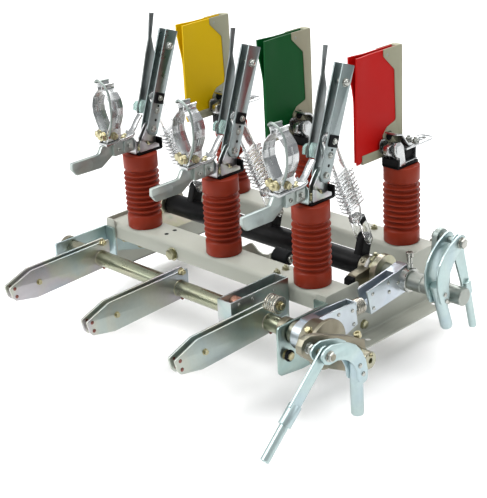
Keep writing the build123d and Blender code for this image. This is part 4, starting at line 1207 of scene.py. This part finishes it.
hexhead(bm, (653, C2[0], C2[1]), (1, 0, 0), 13, 5.6, 0.3, (8.6, 1.2))
dome(bm, (653, -155, -16), (1, 0, 0), 4.0, 2.4)
dome(bm, (653, -148, -32), (1, 0, 0), 4.0, 2.4)
make("earth_fork_bolts", bm, "bolt_zinc", "earth_fork")

dv = Vector((0, -130, -118)).normalized()


def epos(s, v, x=641.5):
    return (x, C2[0] + dv.y * s - dv.z * v, C2[1] + dv.z * s + dv.y * v)


bm = bmesh.new()
o = [epos(s, v)[1:] for s, v in ((-11, -6), (-6, -11), (94, -11), (94, 11), (-6, 11), (-11, 6))]
plate(bm, rnd(o, [4, 6, 3, 3, 6, 4]), 639.5, 643.5, "x", (circ(C2[0], C2[1], 5.1),), 0.8)
cyl(bm, epos(84, 0), epos(118, 0), 10.0, 1.2, 34)
a, b = Vector(epos(110, 0)), Vector(epos(176, 0))
L = (b - a).length
lathe(bm, a, b - a, [(0, 0), (0, 7), (L - 1.2, 7), (L, 6), (L, 0)], 28)
make("earth_link_bar", bm, "pale_zinc", "earth_link", ("earth_link",))
bm = bmesh.new()
hexhead(bm, (644.6, C2[0], C2[1]), (1, 0, 0), 12, 3.0, 0.3)
hexhead(bm, (612, C2[0], C2[1]), (1, 0, 0), 13, 6.5, 0.3, (9.0, 1.4))
hexhead(bm, (600, C2[0], C2[1]), (-1, 0, 0), 13, 3.6, 0.3)
make("earth_crank_bolts", bm, "bolt_zinc", "earth_shaft")

# ---------------------------------------------------------------------------
# stage, light, camera
# ---------------------------------------------------------------------------
floor_mat, nt, b = new_mat("floor")
c = ramp(nt, noise(nt, 1.2, 2.0, 0.5), [(0.3, (0.93, 0.93, 0.93)), (0.7, (0.96, 0.96, 0.96))])
nt.links.new(c, b.inputs["Base Color"])
b.inputs["Roughness"].default_value = 0.9
b.inputs["Specular IOR Level"].default_value = 0.1
bm = bmesh.new()
zf = -0.045
n = 48
vs = [bm.verts.new((-0.25 + 9.0 * cos(2 * pi * i / n), 9.0 * sin(2 * pi * i / n), zf)) for i in range(n)]
bm.faces.new(vs)
me = bpy.data.meshes.new("floor")
bm.to_mesh(me)
bm.free()
me.materials.append(floor_mat)
floor = bpy.data.objects.new("floor", me)
bpy.context.scene.collection.objects.link(floor)

sc = bpy.context.scene
w = bpy.data.worlds.new("studio")
sc.world = w
w.use_nodes = True
nt = w.node_tree
nt.nodes.clear()
out = nt.nodes.new("ShaderNodeOutputWorld")
bg = nt.nodes.new("ShaderNodeBackground")
tc = nt.nodes.new("ShaderNodeTexCoord")
sep = nt.nodes.new("ShaderNodeSeparateXYZ")
nt.links.new(tc.outputs["Generated"], sep.inputs[0])
rp = nt.nodes.new("ShaderNodeValToRGB")
e = rp.color_ramp.elements
e[0].position = 0.0
e[0].color = (0.55, 0.56, 0.57, 1)
e[1].position = 1.0
e[1].color = (1.0, 1.0, 1.0, 1)
k = e.new(0.5); k.color = (0.42, 0.44, 0.46, 1)
k = e.new(0.62); k.color = (0.62, 0.64, 0.66, 1)
k = e.new(0.80); k.color = (0.95, 0.96, 0.97, 1)
mr = nt.nodes.new("ShaderNodeMapRange")
mr.inputs["From Min"].default_value = -1.0
mr.inputs["From Max"].default_value = 1.0
nt.links.new(sep.outputs["Z"], mr.inputs["Value"])
nt.links.new(mr.outputs["Result"], rp.inputs["Fac"])
nt.links.new(rp.outputs["Color"], bg.inputs["Color"])
bg.inputs["Strength"].default_value = 0.66
nt.links.new(bg.outputs[0], out.inputs[0])


def area(name, loc, target, size, power, col=(1, 1, 1)):
    l = bpy.data.lights.new(name, "AREA")
    l.shape = "RECTANGLE"
    l.size, l.size_y = size
    l.energy = power
    l.color = col
    o = bpy.data.objects.new(name, l)
    o.location = loc
    o.rotation_euler = (Vector(target) - Vector(loc)).to_track_quat("-Z", "Y").to_euler()
    sc.collection.objects.link(o)


area("key", (-1.4, -2.2, 2.4), (-0.25, 0, 0.15), (1.8, 1.8), 62)
area("top", (-0.3, 0.3, 2.6), (-0.25, 0, 0.15), (2.4, 2.0), 46)
area("side", (2.4, 0.2, 1.5), (-0.25, 0, 0.15), (1.2, 1.6), 14)
area("back", (-1.6, 2.6, 2.2), (-0.9, 1.4, -0.04), (2.4, 1.6), 70)
area("edge", (-2.2, -1.9, 0.5), (-0.25, 0, 0.2), (0.9, 0.9), 9)

cam = bpy.data.cameras.new("camera")
cam.sensor_width = 36.0
cam.sensor_fit = "AUTO"
cam.lens = 1334.113 * 36.0 / 498.0
cam.clip_end = 60.0
co = bpy.data.objects.new("camera", cam)
az, el, roll = radians(45.976), radians(22.608), radians(-2.995)
back = Vector((sin(az) * cos(el), -cos(az) * cos(el), sin(el)))
fwd = -back
right = fwd.cross(Vector((0, 0, 1))).normalized()
up = right.cross(fwd)
r2 = right * cos(roll) + up * sin(roll)
u2 = -right * sin(roll) + up * cos(roll)
M = Matrix((
    (r2.x, u2.x, back.x, 0), (r2.y, u2.y, back.y, 0), (r2.z, u2.z, back.z, 0), (0, 0, 0, 1)))
M.translation = V(1793.378, -1483.122, 905.505)
co.matrix_world = M
sc.collection.objects.link(co)
sc.camera = co
sc.view_settings.view_transform = "Standard"
sc.view_settings.look = "None"
